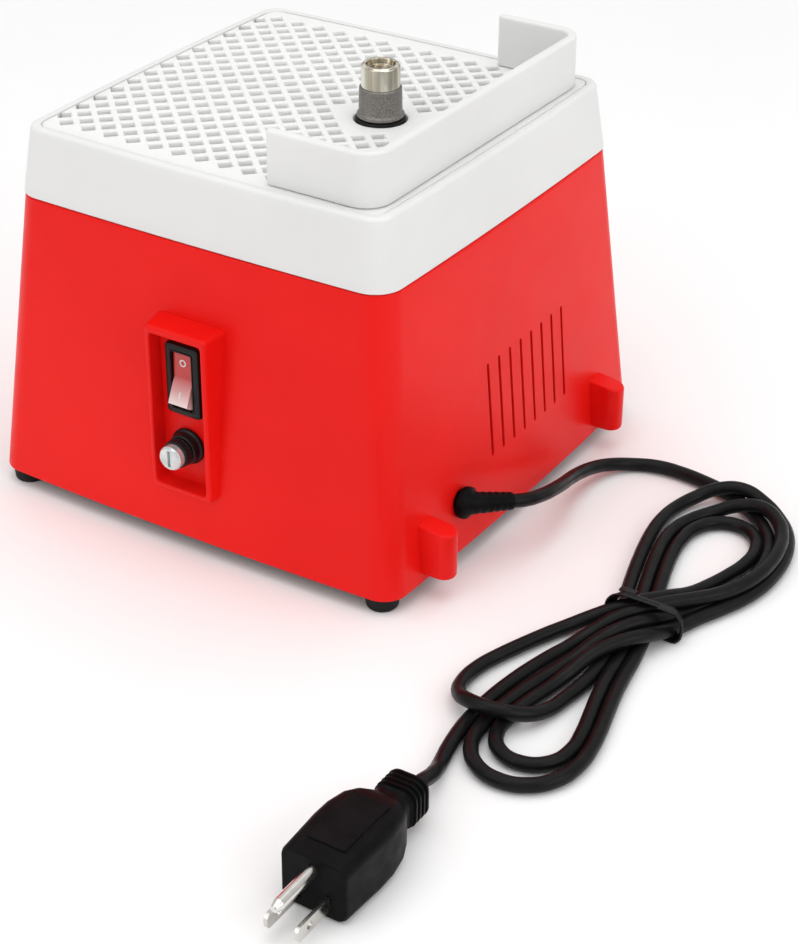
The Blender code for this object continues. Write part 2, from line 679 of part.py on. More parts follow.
def strain_relief():
    """The moulded relief: a grooved neck through the wall, then a tapered tail that leans and droops."""
    wall = Vector((GLAND[0], WALL_FACE_Y, GLAND[1]))
    level = math.cos(RELIEF_DROOP)
    lean = Vector((-math.sin(RELIEF_LEAN) * level, math.cos(RELIEF_LEAN) * level, -math.sin(RELIEF_DROOP)))
    neck = [
        (-11, 5.2), (-6.4, 5.2), (-6.4, 7.2), (-4.2, 7.2), (-4.2, 5.2), (0.6, 5.2), (0.6, 7.2), (3.0, 7.2),
        (4.4, 6.0),
    ]
    tail = [(3.0, 5.6), (8.0, 5.2), (RELIEF_LENGTH / MM, 4.5)]
    stations = [(wall + Vector((0, s * MM, 0)), Vector((0, 1, 0)), r * MM) for s, r in neck]
    root = wall + Vector((0, 3.2 * MM, 0))
    stations += [(root + lean * s * MM, lean, r * MM) for s, r in tail]
    rings = []
    for centre, heading, radius in stations:
        across = heading.cross(Vector((0, 0, 1))).normalized()
        up = across.cross(heading)
        turn = [2 * math.pi * i / 20 for i in range(20)]
        rings.append([centre + radius * (math.cos(a) * across + math.sin(a) * up) for a in turn])
    relief = add_object("strain_relief", lofted(rings), black_rubber())
    tip = root + lean * RELIEF_LENGTH
    socket = turned(rod_profile(CORD_R + 2 * GAP, -6 * MM, 4 * MM), 16)
    bmesh.ops.rotate(socket, verts=socket.verts, matrix=lean.to_track_quat("Z", "Y").to_matrix())
    cut(relief, cutter("relief_socket", socket, tip))
    inner = laid_along_y(turned(rod_profile(CORD_R + GAP, -15 * MM, -5 * MM), 16))
    cut(relief, cutter("relief_inner_socket", inner, wall))
    return [tuple((root + lean * (RELIEF_LENGTH + s * MM)) / MM) for s in (-5.5, 0, 5)]


def mains_lead():
    """The free cord: relief to hank, the tied hank, and hank to plug."""
    start = strain_relief()
    cable("power_cord", in_mm([*start, *LEAD_ROUTE]), CORD_R, black_rubber())
    cable("cord_tail", in_mm(TAIL_ROUTE), CORD_R, black_rubber(), TAIL_STEP)
    hank()
    plug()


def hank_outline():
    """The hank's outer shape in plan: round ends, drawn in to a waist where the tie holds it."""
    reach = HANK_HALF_LENGTH - HANK_END_R
    waist = 9 * MM
    half = []
    for i in range(-3, 4):
        angle = math.pi / 2 * i / 3
        half.append((reach + HANK_END_R * math.cos(angle), HANK_END_R * math.sin(angle) - HANK_SKEW))
    right = half + [(waist, HANK_WAIST_R)]
    plan = [(waist, -HANK_WAIST_R), *right]
    return plan + [(-x, -y) for x, y in plan]


def hank():
    """The figure-eight hank as one solid, and the tie over its waist."""
    plan = hank_outline()
    solid = lofted([[(x, y, z) for x, y in plan] for z in (0.2 * MM, HANK_HEIGHT)])
    origin = (*HANK_CENTRE, 0)
    add_object("cord_hank", solid, black_rubber(), origin=origin)
    side = HANK_WAIST_R + GAP
    top = HANK_HEIGHT + GAP
    thick = 1.8 * MM
    low, wide, high = 0.2 * MM, side + thick, top + thick
    outer = [(-wide, low), (-wide, high), (wide, high), (wide, low)]
    inner = [(side, low), (side, top), (-side, top), (-side, low)]
    strap = lofted([[(x, y, z) for y, z in outer + inner] for x in (-3 * MM, 3 * MM)])
    add_object("cord_tie", strap, black_plastic(), origin=origin)


def plug():
    """The moulded mains plug: a body that narrows to a ribbed collar, two blades and a ground pin."""
    axis_y, axis_z = PLUG_AXIS
    sections = [
        (PLUG_BACK_X, 5.0, 5.0, -2.0),
        (PLUG_BACK_X + 4 * MM, 8.0, 8.0, -1.5),
        (PLUG_BACK_X + 13 * MM, 8.6, 8.6, -1.0),
        (PLUG_BACK_X + 17 * MM, 7.4, 7.8, -1.0),
        (PLUG_BACK_X + 28 * MM, 11.5, 11.8, 0.0),
        (PLUG_BACK_X + 44 * MM, 13.2, 12.8, 0.0),
        (PLUG_FACE_X, 12.6, 12.4, 0.0),
    ]
    rings = []
    for x, half_y, half_z, lift in sections:
        plan = plan_outline(half_y * MM, half_z * MM, min(half_y, half_z) * 0.55 * MM, 0.0, 3, 1)
        rings.append([(x, axis_y + u, axis_z + lift * MM + v) for u, v in plan])
    body = add_object("plug_body", lofted(rings), black_rubber())
    bore_end = PLUG_BACK_X + 10 * MM
    bore = laid_along_x(turned(rod_profile(CORD_R + GAP, -5 * MM, bore_end - PLUG_BACK_X), 16))
    cut(body, cutter("plug_bore", bore, (PLUG_BACK_X, axis_y, axis_z - 2 * MM)))
    for name, y in (("blade_left", axis_y - 6.35 * MM), ("blade_right", axis_y + 6.35 * MM)):
        low = axis_z - 8.2 * MM
        high = low + 6.3 * MM
        pocket_low = (PLUG_FACE_X - 8 * MM, y - 1.1 * MM, low - GAP)
        pocket_high = (PLUG_FACE_X + MM, y + 1.1 * MM, high + GAP)
        cut(body, cutter("pocket_" + name, box(pocket_low, pocket_high)))
        blade_low = (PLUG_FACE_X - 7.7 * MM, y - 0.75 * MM, low)
        blade = box(blade_low, (PLUG_FACE_X + 18.2 * MM, y + 0.75 * MM, high))
        piece = add_object(name, blade, steel())
        eye = laid_along_y(turned(rod_profile(1.6 * MM, -3 * MM, 3 * MM), 12))
        cut(piece, cutter("eye_" + name, eye, (PLUG_FACE_X + 12.5 * MM, y, low + 3.15 * MM)))
    pin_z = axis_z + 6.9 * MM
    pocket = laid_along_x(turned(rod_profile(2.7 * MM, -8 * MM, MM), 16))
    cut(body, cutter("pocket_ground_pin", pocket, (PLUG_FACE_X, axis_y, pin_z)))
    pin = [(0, -7.7), (2.4, -7.7), (2.4, 18.5), (1.9, 20.3), (0, 21)]
    profile = [(r * MM, z * MM) for r, z in pin]
    add_object("ground_pin", laid_along_x(turned(profile, 16)), steel(), origin=(PLUG_FACE_X, axis_y, pin_z))


def main():
    clear_scene()
    pivot("machine", MACHINE_SHIFT)
    housing()
    base_and_feet()
    water_tray()
    worktop_grid()
    splash_guard()
    bit_and_spindle(pivot("spindle_axis", (*AXIS, 0)))
    motor()
    switch_parts()
    fuse_parts()
    internal_leads()
    mains_lead()


main()
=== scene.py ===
"""Looks of the bench glass grinder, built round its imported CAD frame.

Every piece is drawn in millimetres in the machine's own frame, whose origin is on the bench under
the middle of the housing: +X to the switch pod, +Y to the splash guard and the cord, +Z up."""

import json
import math

import bmesh
import bpy
import numpy as np
from mathutils import Matrix, Vector


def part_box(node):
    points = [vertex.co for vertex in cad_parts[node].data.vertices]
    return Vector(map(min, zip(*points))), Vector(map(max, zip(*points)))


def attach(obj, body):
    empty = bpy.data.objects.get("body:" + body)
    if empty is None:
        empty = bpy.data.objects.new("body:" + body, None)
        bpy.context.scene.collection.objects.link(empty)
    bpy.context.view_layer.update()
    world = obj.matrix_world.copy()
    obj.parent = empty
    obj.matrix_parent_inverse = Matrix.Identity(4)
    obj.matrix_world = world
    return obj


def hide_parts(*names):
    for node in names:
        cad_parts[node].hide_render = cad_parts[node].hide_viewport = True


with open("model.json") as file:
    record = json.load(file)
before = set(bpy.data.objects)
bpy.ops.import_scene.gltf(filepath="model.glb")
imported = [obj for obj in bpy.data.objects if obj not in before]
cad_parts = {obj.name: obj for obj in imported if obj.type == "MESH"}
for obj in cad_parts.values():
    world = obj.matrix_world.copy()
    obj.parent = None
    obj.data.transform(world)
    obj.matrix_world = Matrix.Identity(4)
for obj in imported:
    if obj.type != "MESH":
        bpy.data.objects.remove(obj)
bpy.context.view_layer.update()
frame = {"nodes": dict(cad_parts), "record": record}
NODES = frame["nodes"]
MM = 0.001
tray_low, tray_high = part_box("water_tray")
ORIGIN = Vector(((tray_low.x + tray_high.x) / 2, (tray_low.y + tray_high.y) / 2, 0.0))

# Driving sizes and places, in machine millimetres.
AXIS = (0.0, 31.4)
BASE_Z, DECK_Z, RIM_Z = 7.0, 141.4, 172.3
BASE_HALF, BASE_CORNER = (108.4, 107.5), 10.4
DECK_LOSS, DECK_CORNER_GAIN = (12.8, 12.4), 1.6
HOUSING_BOW, WALL = 2.5, 2.5
TRAY_HALF, TRAY_CORNER = (96.1, 95.6), 12.0
RIM_LOSS, RIM_CORNER_LOSS = (4.3, 4.9), 3.5
TRAY_BOW = 1.5
LATTICE_LOW, LATTICE_HIGH = 168.4, 171.9
LATTICE_PITCH = 6.0
BIT_CLEARANCE = 20.5
GUARD_LOW, GUARD_HIGH = 172.2, 195.8
GUARD_HALF_X, GUARD_BACK_Y, GUARD_HALF_WALL, GUARD_CORNER = 86.0, 84.5, 2.25, 9.75
GUARD_NEAR_END, GUARD_FAR_END = 33.85, 43.5
SET_SCREW_Z = 189.2
POD_Y, PANEL_X, POD_FRONT_X = 2.5, 106.0, 113.5
POD_MID_Z, POD_HALF_Y, POD_HALF_Z = 69.3, 15.85, 39.1
RECESS_MID_Z, RECESS_HALF_Y, RECESS_HALF_Z = 68.85, 13.3, 36.1
SWITCH_Z, FUSE_Z = 83.7, 51.3
VENT_X, VENT_PITCH, VENT_COUNT, VENT_MID_Z, VENT_HALF = 25.5, 9.3, 8, 61.9, 21.3
LUG_XS, LUG_R, LUG_NOSE_Y = (80.5, -70.5), 5.5, 115.8
GLAND_X, GLAND_Z, GLAND_R = 53.3, 31.0, 5.6
FOOT_X, FOOT_Y = 99.5, 97.0
CORD_D = 6.2
PLUG_Y, PLUG_Z, PLUG_BACK, PLUG_FACE = 180.1, 13.0, 205.7, 273.0
BLADE_Y, BLADE_LOW, BLADE_WIDTH = 6.35, PLUG_Z - 8.2, 6.3
PIN_Z = PLUG_Z + 6.9
CAMERA_PLACE, CAMERA_TARGET = (745.8, 511.4, 527.6), (23.2, 56.8, 13.8)
CAMERA_LENS, CAMERA_ROLL = 83.56, math.radians(0.45)


# ---------------------------------------------------------------- materials


class Nodes:
    """A material under construction: short ways to add and join its nodes."""

    def __init__(self, name):
        self.material = bpy.data.materials.new(name)
        self.material.use_nodes = True
        self.tree = self.material.node_tree
        self.shader = self.tree.nodes["Principled BSDF"]
        self.place = self.add("ShaderNodeTexCoord").outputs["Object"]

    def add(self, kind, **settings):
        made = self.tree.nodes.new(kind)
        for key, value in settings.items():
            setattr(made, key, value)
        return made

    def link(self, a, b):
        self.tree.links.new(a, b)

    def stretched(self, scale):
        """Object coordinates scaled per axis."""
        mapping = self.add("ShaderNodeMapping")
        mapping.inputs["Scale"].default_value = scale
        self.link(self.place, mapping.inputs["Vector"])
        return mapping.outputs["Vector"]

    def noise(self, scale, detail=4.0, rough=0.55, vector=None):
        made = self.add("ShaderNodeTexNoise")
        made.inputs["Scale"].default_value = scale
        made.inputs["Detail"].default_value = detail
        made.inputs["Roughness"].default_value = rough
        self.link(vector or self.place, made.inputs["Vector"])
        return made.outputs["Fac"]

    def ramp(self, factor, low, high, start=0.35, end=0.65):
        """Runs between two colours or two greys as factor goes from start to end."""
        made = self.add("ShaderNodeValToRGB")
        first, last = made.color_ramp.elements
        first.position, last.position = start, end
        first.color, last.color = colour(low), colour(high)
        self.link(factor, made.inputs["Fac"])
        return made.outputs["Color"]

    def bumps(self, *layers):
        """Stacks (height, strength, distance in metres) bumps on the shader's normal."""
        normal = None
        for height, strength, distance in layers:
            made = self.add("ShaderNodeBump")
            made.inputs["Strength"].default_value = strength
            made.inputs["Distance"].default_value = distance
            self.link(height, made.inputs["Height"])
            if normal:
                self.link(normal, made.inputs["Normal"])
            normal = made.outputs["Normal"]
        self.link(normal, self.shader.inputs["Normal"])

    def set(self, **values):
        for key, value in values.items():
            self.shader.inputs[key.replace("_", " ")].default_value = value


def colour(value):
    return (value, value, value, 1.0) if isinstance(value, (int, float)) else (*value, 1.0)


def plastic(name, low, high, rough, grain=0.1, subsurface=0.0, radius=(1, 1, 1), shine=0.5):
    """Moulded plastic: slow tint and gloss changes, moulding flow, and a fine spark-eroded grain."""
    n = Nodes(name)
    n.link(n.ramp(n.noise(14, 3), low, high, 0.3, 0.7), n.shader.inputs["Base Color"])
    n.link(n.ramp(n.noise(60, 5), rough[0], rough[1], 0.3, 0.7), n.shader.inputs["Roughness"])
    n.bumps((n.noise(9, 1), 0.12, 0.0008), (n.noise(2600, 2), grain, 0.00004))
    n.set(IOR=1.5, Subsurface_Weight=subsurface, Subsurface_Radius=radius, Subsurface_Scale=0.004)
    n.set(Specular_IOR_Level=shine)
    return n.material


def rubber(name, base, rough, shine=0.2):
    """Dull rubber or soft PVC, with a dusty bloom and fine pitting."""
    n = Nodes(name)
    bloom = tuple(c * 1.6 + 0.002 for c in base)
    n.link(n.ramp(n.noise(90, 6, 0.65), base, bloom, 0.4, 0.75), n.shader.inputs["Base Color"])
    n.link(n.ramp(n.noise(140, 4), rough[0], rough[1]), n.shader.inputs["Roughness"])
    n.bumps((n.noise(340, 3), 0.25, 0.00012), (n.noise(3000, 2), 0.15, 0.00004))
    n.set(IOR=1.45, Specular_IOR_Level=shine)
    return n.material


def metal(name, low, high, rough, brush=(1, 1, 30), brush_scale=160, scratch=0.12):
    """Machined or drawn metal: tint variation and tool marks stretched along one axis."""
    n = Nodes(name)
    n.link(n.ramp(n.noise(45, 4), low, high), n.shader.inputs["Base Color"])
    lines = n.noise(brush_scale, 4, 0.6, n.stretched(brush))
    n.link(n.ramp(lines, rough[0], rough[1], 0.3, 0.7), n.shader.inputs["Roughness"])
    n.bumps((lines, scratch, 0.00008), (n.noise(900, 3), 0.05, 0.00003))
    n.set(Metallic=1.0)
    return n.material


def plated_metal():
    """Polished nickel plate over brass, with painted reflections: dark and bright streaks along the
    bit's length in the base colour stand in for vertical highlights.
    """
    n = Nodes("nickel_brass")
    # Painted reflection: streaks stretched along the bit's length, running dark to bright in the base
    # colour, stand in for vertical highlights.
    painted_reflection_streaks = n.noise(150, 3, 0.5, n.stretched((1, 1, 0.04)))
    tint = n.ramp(painted_reflection_streaks, (0.30, 0.25, 0.17), (0.93, 0.90, 0.80), 0.4, 0.62)
    n.link(tint, n.shader.inputs["Base Color"])
    n.link(n.ramp(n.noise(300, 4), 0.10, 0.22), n.shader.inputs["Roughness"])
    n.bumps((n.noise(1200, 3), 0.05, 0.00003))
    n.set(Metallic=1.0)
    return n.material


def grit_metal():
    """Diamond grit held in plated nickel: a rough dark coat of fine crystals."""
    n = Nodes("diamond_grit")
    cells = n.add("ShaderNodeTexVoronoi")
    cells.inputs["Scale"].default_value = 1900
    n.link(n.place, cells.inputs["Vector"])
    fleck = n.ramp(cells.outputs["Distance"], (0.10, 0.095, 0.085), (0.27, 0.255, 0.235), 0.1, 0.6)
    n.link(fleck, n.shader.inputs["Base Color"])
    n.link(n.ramp(n.noise(700, 4), 0.38, 0.62), n.shader.inputs["Roughness"])
    n.bumps((cells.outputs["Distance"], 0.55, 0.00022), (n.noise(2400, 3), 0.3, 0.0001))
    n.set(Metallic=0.75)
    return n.material


def lamp_plastic():
    """The rocker's see-through red paddle, with a painted highlight: its base colour turns pale
    towards the lower end, where that end catches the light.
    """
    n = Nodes("lamp_red")
    split = n.add("ShaderNodeSeparateXYZ")
    n.link(n.place, split.inputs["Vector"])
    level = n.add("ShaderNodeMapRange")
    level.inputs["From Min"].default_value = (SWITCH_Z - 14.7) * MM
    level.inputs["From Max"].default_value = (SWITCH_Z + 12.3) * MM
    n.link(split.outputs["Z"], level.inputs["Value"])
    # Painted highlight: the base colour runs from near white at the paddle's lower end to red at its
    # top.
    painted_highlight = n.ramp(level.outputs["Result"], (0.95, 0.82, 0.80), (0.58, 0.018, 0.016), 0.14, 0.6)
    n.link(painted_highlight, n.shader.inputs["Base Color"])
    n.link(n.ramp(n.noise(260, 3), 0.1, 0.2), n.shader.inputs["Roughness"])
    n.bumps((n.noise(900, 2), 0.06, 0.00004))
    n.set(IOR=1.49, Transmission_Weight=0.15, Coat_Weight=0.5, Coat_Roughness=0.05)
    n.set(Subsurface_Weight=0.3, Subsurface_Radius=(1, 0.25, 0.2), Subsurface_Scale=0.003)
    return n.material


def clear_plastic():
    """The fuse cap's tinted lens."""
    n = Nodes("clear_plastic")
    tint = n.ramp(n.noise(200, 3), (0.62, 0.68, 0.68), (0.80, 0.85, 0.85))
    n.link(tint, n.shader.inputs["Base Color"])
    n.link(n.ramp(n.noise(300, 3), 0.06, 0.16), n.shader.inputs["Roughness"])
    n.bumps((n.noise(700, 2), 0.08, 0.00005))
    n.set(IOR=1.49, Transmission_Weight=0.25, Metallic=0.5)
    return n.material


def floor_paint():
    """A plain pale surface."""
    n = Nodes("floor")
    n.link(n.ramp(n.noise(3, 2), 0.93, 0.95), n.shader.inputs["Base Color"])
    n.link(n.ramp(n.noise(40, 3), 0.6, 0.7), n.shader.inputs["Roughness"])
    return n.material


LOOKS = {
    "red_plastic": plastic(
        "red_plastic", (0.76, 0.006, 0.004), (0.83, 0.010, 0.007), (0.3, 0.4),
        grain=0.08, subsurface=0.04, radius=(1, 0.1, 0.08), shine=0.15,
    ),
    "white_plastic": plastic(
        "white_plastic", (0.73, 0.73, 0.72), (0.77, 0.77, 0.76), (0.36, 0.46),
        subsurface=0.3, radius=(1, 0.95, 0.9), shine=0.35,
    ),
    "black_plastic": plastic(
        "black_plastic", (0.005, 0.005, 0.006), (0.010, 0.010, 0.011), (0.25, 0.4),
        grain=0.15, shine=0.25,
    ),
    "lamp_red": lamp_plastic(),
    "clear_plastic": clear_plastic(),
    "rubber": rubber("rubber", (0.007, 0.007, 0.007), (0.42, 0.6)),
    "steel": metal("steel", (0.56, 0.56, 0.57), (0.68, 0.68, 0.69), (0.22, 0.38)),
    "aluminium": metal(
        "aluminium", (0.66, 0.67, 0.68), (0.78, 0.79, 0.80), (0.4, 0.55), (1, 1, 1), 420, 0.3
    ),
    "bronze": metal(
        "bronze", (0.42, 0.26, 0.12), (0.55, 0.36, 0.18), (0.35, 0.5), (1, 1, 1), 600, 0.25
    ),
    "copper_wire": metal(
        "copper_wire", (0.45, 0.17, 0.07), (0.62, 0.27, 0.12), (0.25, 0.4), (1, 1, 60), 60, 0.6
    ),
    "nickel_brass": plated_metal(),
    "diamond_grit": grit_metal(),
    "fuse_glass": clear_plastic(),
}
CORD_PVC = rubber("cord_pvc", (0.0045, 0.0045, 0.005), (0.28, 0.42), 0.16)
PLUG_PVC = rubber("plug_pvc", (0.003, 0.003, 0.0033), (0.36, 0.5), 0.07)
BLADE_METAL = metal(
    "blade_metal", (0.52, 0.50, 0.47), (0.80, 0.78, 0.75), (0.14, 0.28), (6, 30, 30), 12, 0.1
)
LATTICE_WHITE = plastic(
    "lattice_white", (0.80, 0.80, 0.79), (0.84, 0.84, 0.83), (0.36, 0.46),
    subsurface=0.8, radius=(1, 0.97, 0.94), shine=0.35,
)
MARK_PAINT = plastic("mark_paint", (0.70, 0.70, 0.68), (0.80, 0.80, 0.78), (0.4, 0.5))


# ------------------------------------------------------------ mesh building


def unit(v):
    return v / max(np.linalg.norm(v), 1e-12)


def fillet(points, steps=5, closed=False):
    """Rounds a profile's corners. Each point is (u, v) or (u, v, radius)."""
    made = []
    count = len(points)
    for i, point in enumerate(points):
        here = np.array(point[:2], float)
        radius = point[2] if len(point) > 2 else 0.0
        if radius <= 0 or (not closed and i in (0, count - 1)):
            made.append(tuple(here))
            continue
        back = unit(np.array(points[i - 1][:2], float) - here)
        ahead = unit(np.array(points[(i + 1) % count][:2], float) - here)
        half = math.acos(max(-1.0, min(1.0, float(back @ ahead)))) / 2
        reach = radius / math.tan(half)
        centre = here + unit(back + ahead) * radius / math.sin(half)
        first, last = here + back * reach - centre, here + ahead * reach - centre
        spread = math.pi - 2 * half
        for k in range(steps + 1):
            share = k / steps
            turn = math.sin((1 - share) * spread) * first + math.sin(share * spread) * last
            made.append(tuple(centre + turn / math.sin(spread)))
    return made


def plan(half_x, half_y, radius, bow, corner=8, side=12):
    """A rounded rectangle, anticlockwise, whose sides bow out by `bow` at mid-width."""
    flat = []
    for quarter in range(4):
        turn = quarter * math.pi / 2
        cx = (half_x - radius) * (1 if quarter in (0, 3) else -1)
        cy = (half_y - radius) * (1 if quarter in (0, 1) else -1)
        for i in range(corner + 1):
            a = turn + i / corner * math.pi / 2
            flat.append((cx + radius * math.cos(a), cy + radius * math.sin(a)))
        nx = (half_x - radius) * (1 if quarter in (3, 2) else -1)
        ny = (half_y - radius) * (1 if quarter in (0, 3) else -1)
        a = turn + math.pi / 2
        start, end = flat[-1], (nx + radius * math.cos(a), ny + radius * math.sin(a))
        flat += [tuple(p + i / side * (q - p) for p, q in zip(start, end)) for i in range(1, side)]
    return [
        (
            x + bow * (1 - (y / half_y) ** 2) * x / half_x,
            y + bow * (1 - (x / half_x) ** 2) * y / half_y,
        )
        for x, y in flat
    ]


def rounded_rect(half_u, half_v, radius, corner=5):
    """A rounded rectangle's points with no bow and no points along its sides."""
    return plan(half_u, half_v, radius, 0.0, corner, 1)


def loft(rings):
    """A mesh through rings of equally many points, capped at both ends."""
    bm = bmesh.new()
    layers = [[bm.verts.new(p) for p in ring] for ring in rings]
    for low, high in zip(layers, layers[1:]):
        for i in range(len(low)):
            j = (i + 1) % len(low)
            bm.faces.new((low[i], low[j], high[j], high[i]))
    bm.faces.new(layers[0])
    bm.faces.new(layers[-1])
    return bm


def lathe(profile, segments=64):
    """Turns a closed profile of (radius, z) points about Z. One clear of the axis makes a ring."""
    bm = bmesh.new()
    rings = []
    for radius, z in profile:
        if radius < 1e-6:
            rings.append([bm.verts.new((0, 0, z))])
            continue
        turns = [2 * math.pi * i / segments for i in range(segments)]
        rings.append([bm.verts.new((radius * math.cos(a), radius * math.sin(a), z)) for a in turns])
    pairs = list(zip(rings, rings[1:]))
    if len(rings[0]) > 1:
        pairs.append((rings[-1], rings[0]))
    for first, second in pairs:
        for i in range(segments):
            j = (i + 1) % segments
            corners = [first[k % len(first)] for k in (i, j)]
            corners += [second[k % len(second)] for k in (j, i)]
            unique = list(dict.fromkeys(corners))
            if len(unique) > 2:
                bm.faces.new(unique)
    return bm


def box(low, high):
    """An upright block between two corners."""
    bm = bmesh.new()
    size = [b - a for a, b in zip(low, high)]
    middle = [(a + b) / 2 for a, b in zip(low, high)]
    place = Matrix.Translation(middle) @ Matrix.Diagonal((*size, 1.0))
    bmesh.ops.create_cube(bm, size=1.0, matrix=place)
    return bm


def moved(bm, offset=(0, 0, 0), turn=None):
    """Turns a mesh about the origin by a 3x3 matrix, then shifts it."""
    if turn is not None:
        bmesh.ops.transform(bm, matrix=turn.to_4x4(), verts=bm.verts)
    bmesh.ops.translate(bm, vec=offset, verts=bm.verts)
    return bm


ALONG_X = Matrix.Rotation(math.pi / 2, 3, "Y")
ALONG_Y = Matrix.Rotation(-math.pi / 2, 3, "X")


def turned(profile, segments, place=(*AXIS, 0), turn=None):
    """A lathed shape put in place: upright on the spindle's axis unless it says otherwise."""
    return moved(lathe(profile, segments), place, turn)


def drill(radius, start, end, segments, place=(*AXIS, 0), turn=None):
    """A cylinder from one height to another, for cutting a round hole."""
    return turned([(0, start), (radius, start), (radius, end), (0, end)], segments, place, turn)


def merged(*meshes):
    """Several bmeshes as one."""
    bm = bmesh.new()
    for part in meshes:
        bmesh.ops.recalc_face_normals(part, faces=part.faces)
        mesh = bpy.data.meshes.new("part")
        part.to_mesh(mesh)
        part.free()
        bm.from_mesh(mesh)
        bpy.data.meshes.remove(mesh)
    return bm


def piece(name, bm, look=None, body="machine", replaces=(), smooth=40):
    """A piece from a bmesh in machine millimetres, put in place and, if it has a look, finished."""
    bmesh.ops.recalc_face_normals(bm, faces=bm.faces)
    mesh = bpy.data.meshes.new(name)
    bm.to_mesh(mesh)
    bm.free()
    mesh.transform(Matrix.Translation(ORIGIN) @ Matrix.Scale(MM, 4))
    made = bpy.data.objects.new(name, mesh)
    bpy.context.scene.collection.objects.link(made)
    if look is not None:
        dress(made, look, body, replaces, smooth)
    return made


def dress(made, look, body, replaces=(), smooth=40):
    """Gives a piece its material, smooth shading and body, and hides the CAD nodes it stands for."""
    made.data.materials.clear()
    made.data.materials.append(LOOKS[look] if isinstance(look, str) else look)
    made.data.shade_smooth()
    made.data.set_sharp_from_angle(angle=math.radians(smooth))
    made.modifiers.new("weighted", "WEIGHTED_NORMAL").keep_sharp = True
    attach(made, body)
    if replaces:
        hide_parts(*replaces)
    return made


def carve(target, *steps):
    """Applies (operation, bmesh) Booleans to an object's mesh, in turn."""
    for operation, bm in steps:
        other = piece("cutter", bm)
        step = target.modifiers.new("step", "BOOLEAN")
        step.operation, step.solver, step.object = operation, "EXACT", other
        graph = bpy.context.evaluated_depsgraph_get()
        mesh = bpy.data.meshes.new_from_object(target.evaluated_get(graph))
        target.modifiers.clear()
        old, target.data = target.data, mesh
        bpy.data.meshes.remove(old)
        bpy.data.objects.remove(other, do_unlink=True)
        mesh.name = target.name
    return target


def rounded_edges(bm, width, segments=3, angle=30):
    """Bevels every edge sharper than an angle."""
    least = math.radians(angle)
    sharp = [e for e in bm.edges if len(e.link_faces) == 2 and e.calc_face_angle() > least]
    bmesh.ops.bevel(
        bm, geom=sharp, offset=width, segments=segments, profile=0.5, affect="EDGES",
        clamp_overlap=True,
    )
    return bm


def spline(points, step):
    """Points about `step` apart on a Catmull-Rom curve through a route's own points."""
    p = np.array(points, float)
    p = np.vstack([2 * p[0] - p[1], p, 2 * p[-1] - p[-2]])
    fine = []
    for a, b, c, d in zip(p, p[1:], p[2:], p[3:]):
        for t in np.arange(0, 1, 1 / 24):
            bend = (2 * a - 5 * b + 4 * c - d) * t**2 + (3 * b - a - 3 * c + d) * t**3
            fine.append(0.5 * (2 * b + (c - a) * t + bend))
    fine = np.array([*fine, p[-2]])
    along = np.concatenate([[0], np.cumsum(np.linalg.norm(np.diff(fine, axis=0), axis=1))])
    at = np.linspace(0, along[-1], max(2, round(along[-1] / step)) + 1)
    return np.stack([np.interp(at, along, fine[:, k]) for k in range(3)], axis=1)


def tube(path, section):
    """Sweeps a section, a list of (u, v) points, along a path without twisting."""
    path = np.array(path, float)
    heading = np.gradient(path, axis=0)
    up = np.array([0.0, 0.0, 1.0])
    rings = []
    for centre, ahead in zip(path, heading):
        ahead = unit(ahead)
        side = unit(np.cross(ahead, up))
        up = np.cross(side, ahead)
        rings.append([tuple(centre + u * side + v * up) for u, v in section])
    return loft(rings)


def circle(radius, count=24):
    turns = [2 * math.pi * i / count for i in range(count)]
    return [(radius * math.cos(a), radius * math.sin(a)) for a in turns]


# ------------------------------------------------------------- camera, stage


def camera():
    """The photograph's camera, fitted to the machine's edges."""
    made = bpy.data.cameras.new("camera")
    made.lens = CAMERA_LENS
    made.sensor_width = 36
    made.clip_end = 50
    holder = bpy.data.objects.new("camera", made)
    bpy.context.scene.collection.objects.link(holder)
    place = ORIGIN + Vector(CAMERA_PLACE) * MM
    target = ORIGIN + Vector(CAMERA_TARGET) * MM
    holder.location = place
    look = (target - place).to_track_quat("-Z", "Y")
    holder.rotation_mode = "QUATERNION"
    holder.rotation_quaternion = look @ Matrix.Rotation(CAMERA_ROLL, 3, "Z").to_quaternion()
    bpy.context.scene.camera = holder


def softbox(name, place, target, size, power):
    """A large soft lamp that faces a point."""
    made = bpy.data.lights.new(name, "AREA")
    made.shape = "RECTANGLE"
    made.size, made.size_y = size
    made.energy = power
    holder = bpy.data.objects.new(name, made)
    holder.location = place
    holder.rotation_euler = (Vector(target) - Vector(place)).to_track_quat("-Z", "Y").to_euler()
    bpy.context.scene.collection.objects.link(holder)


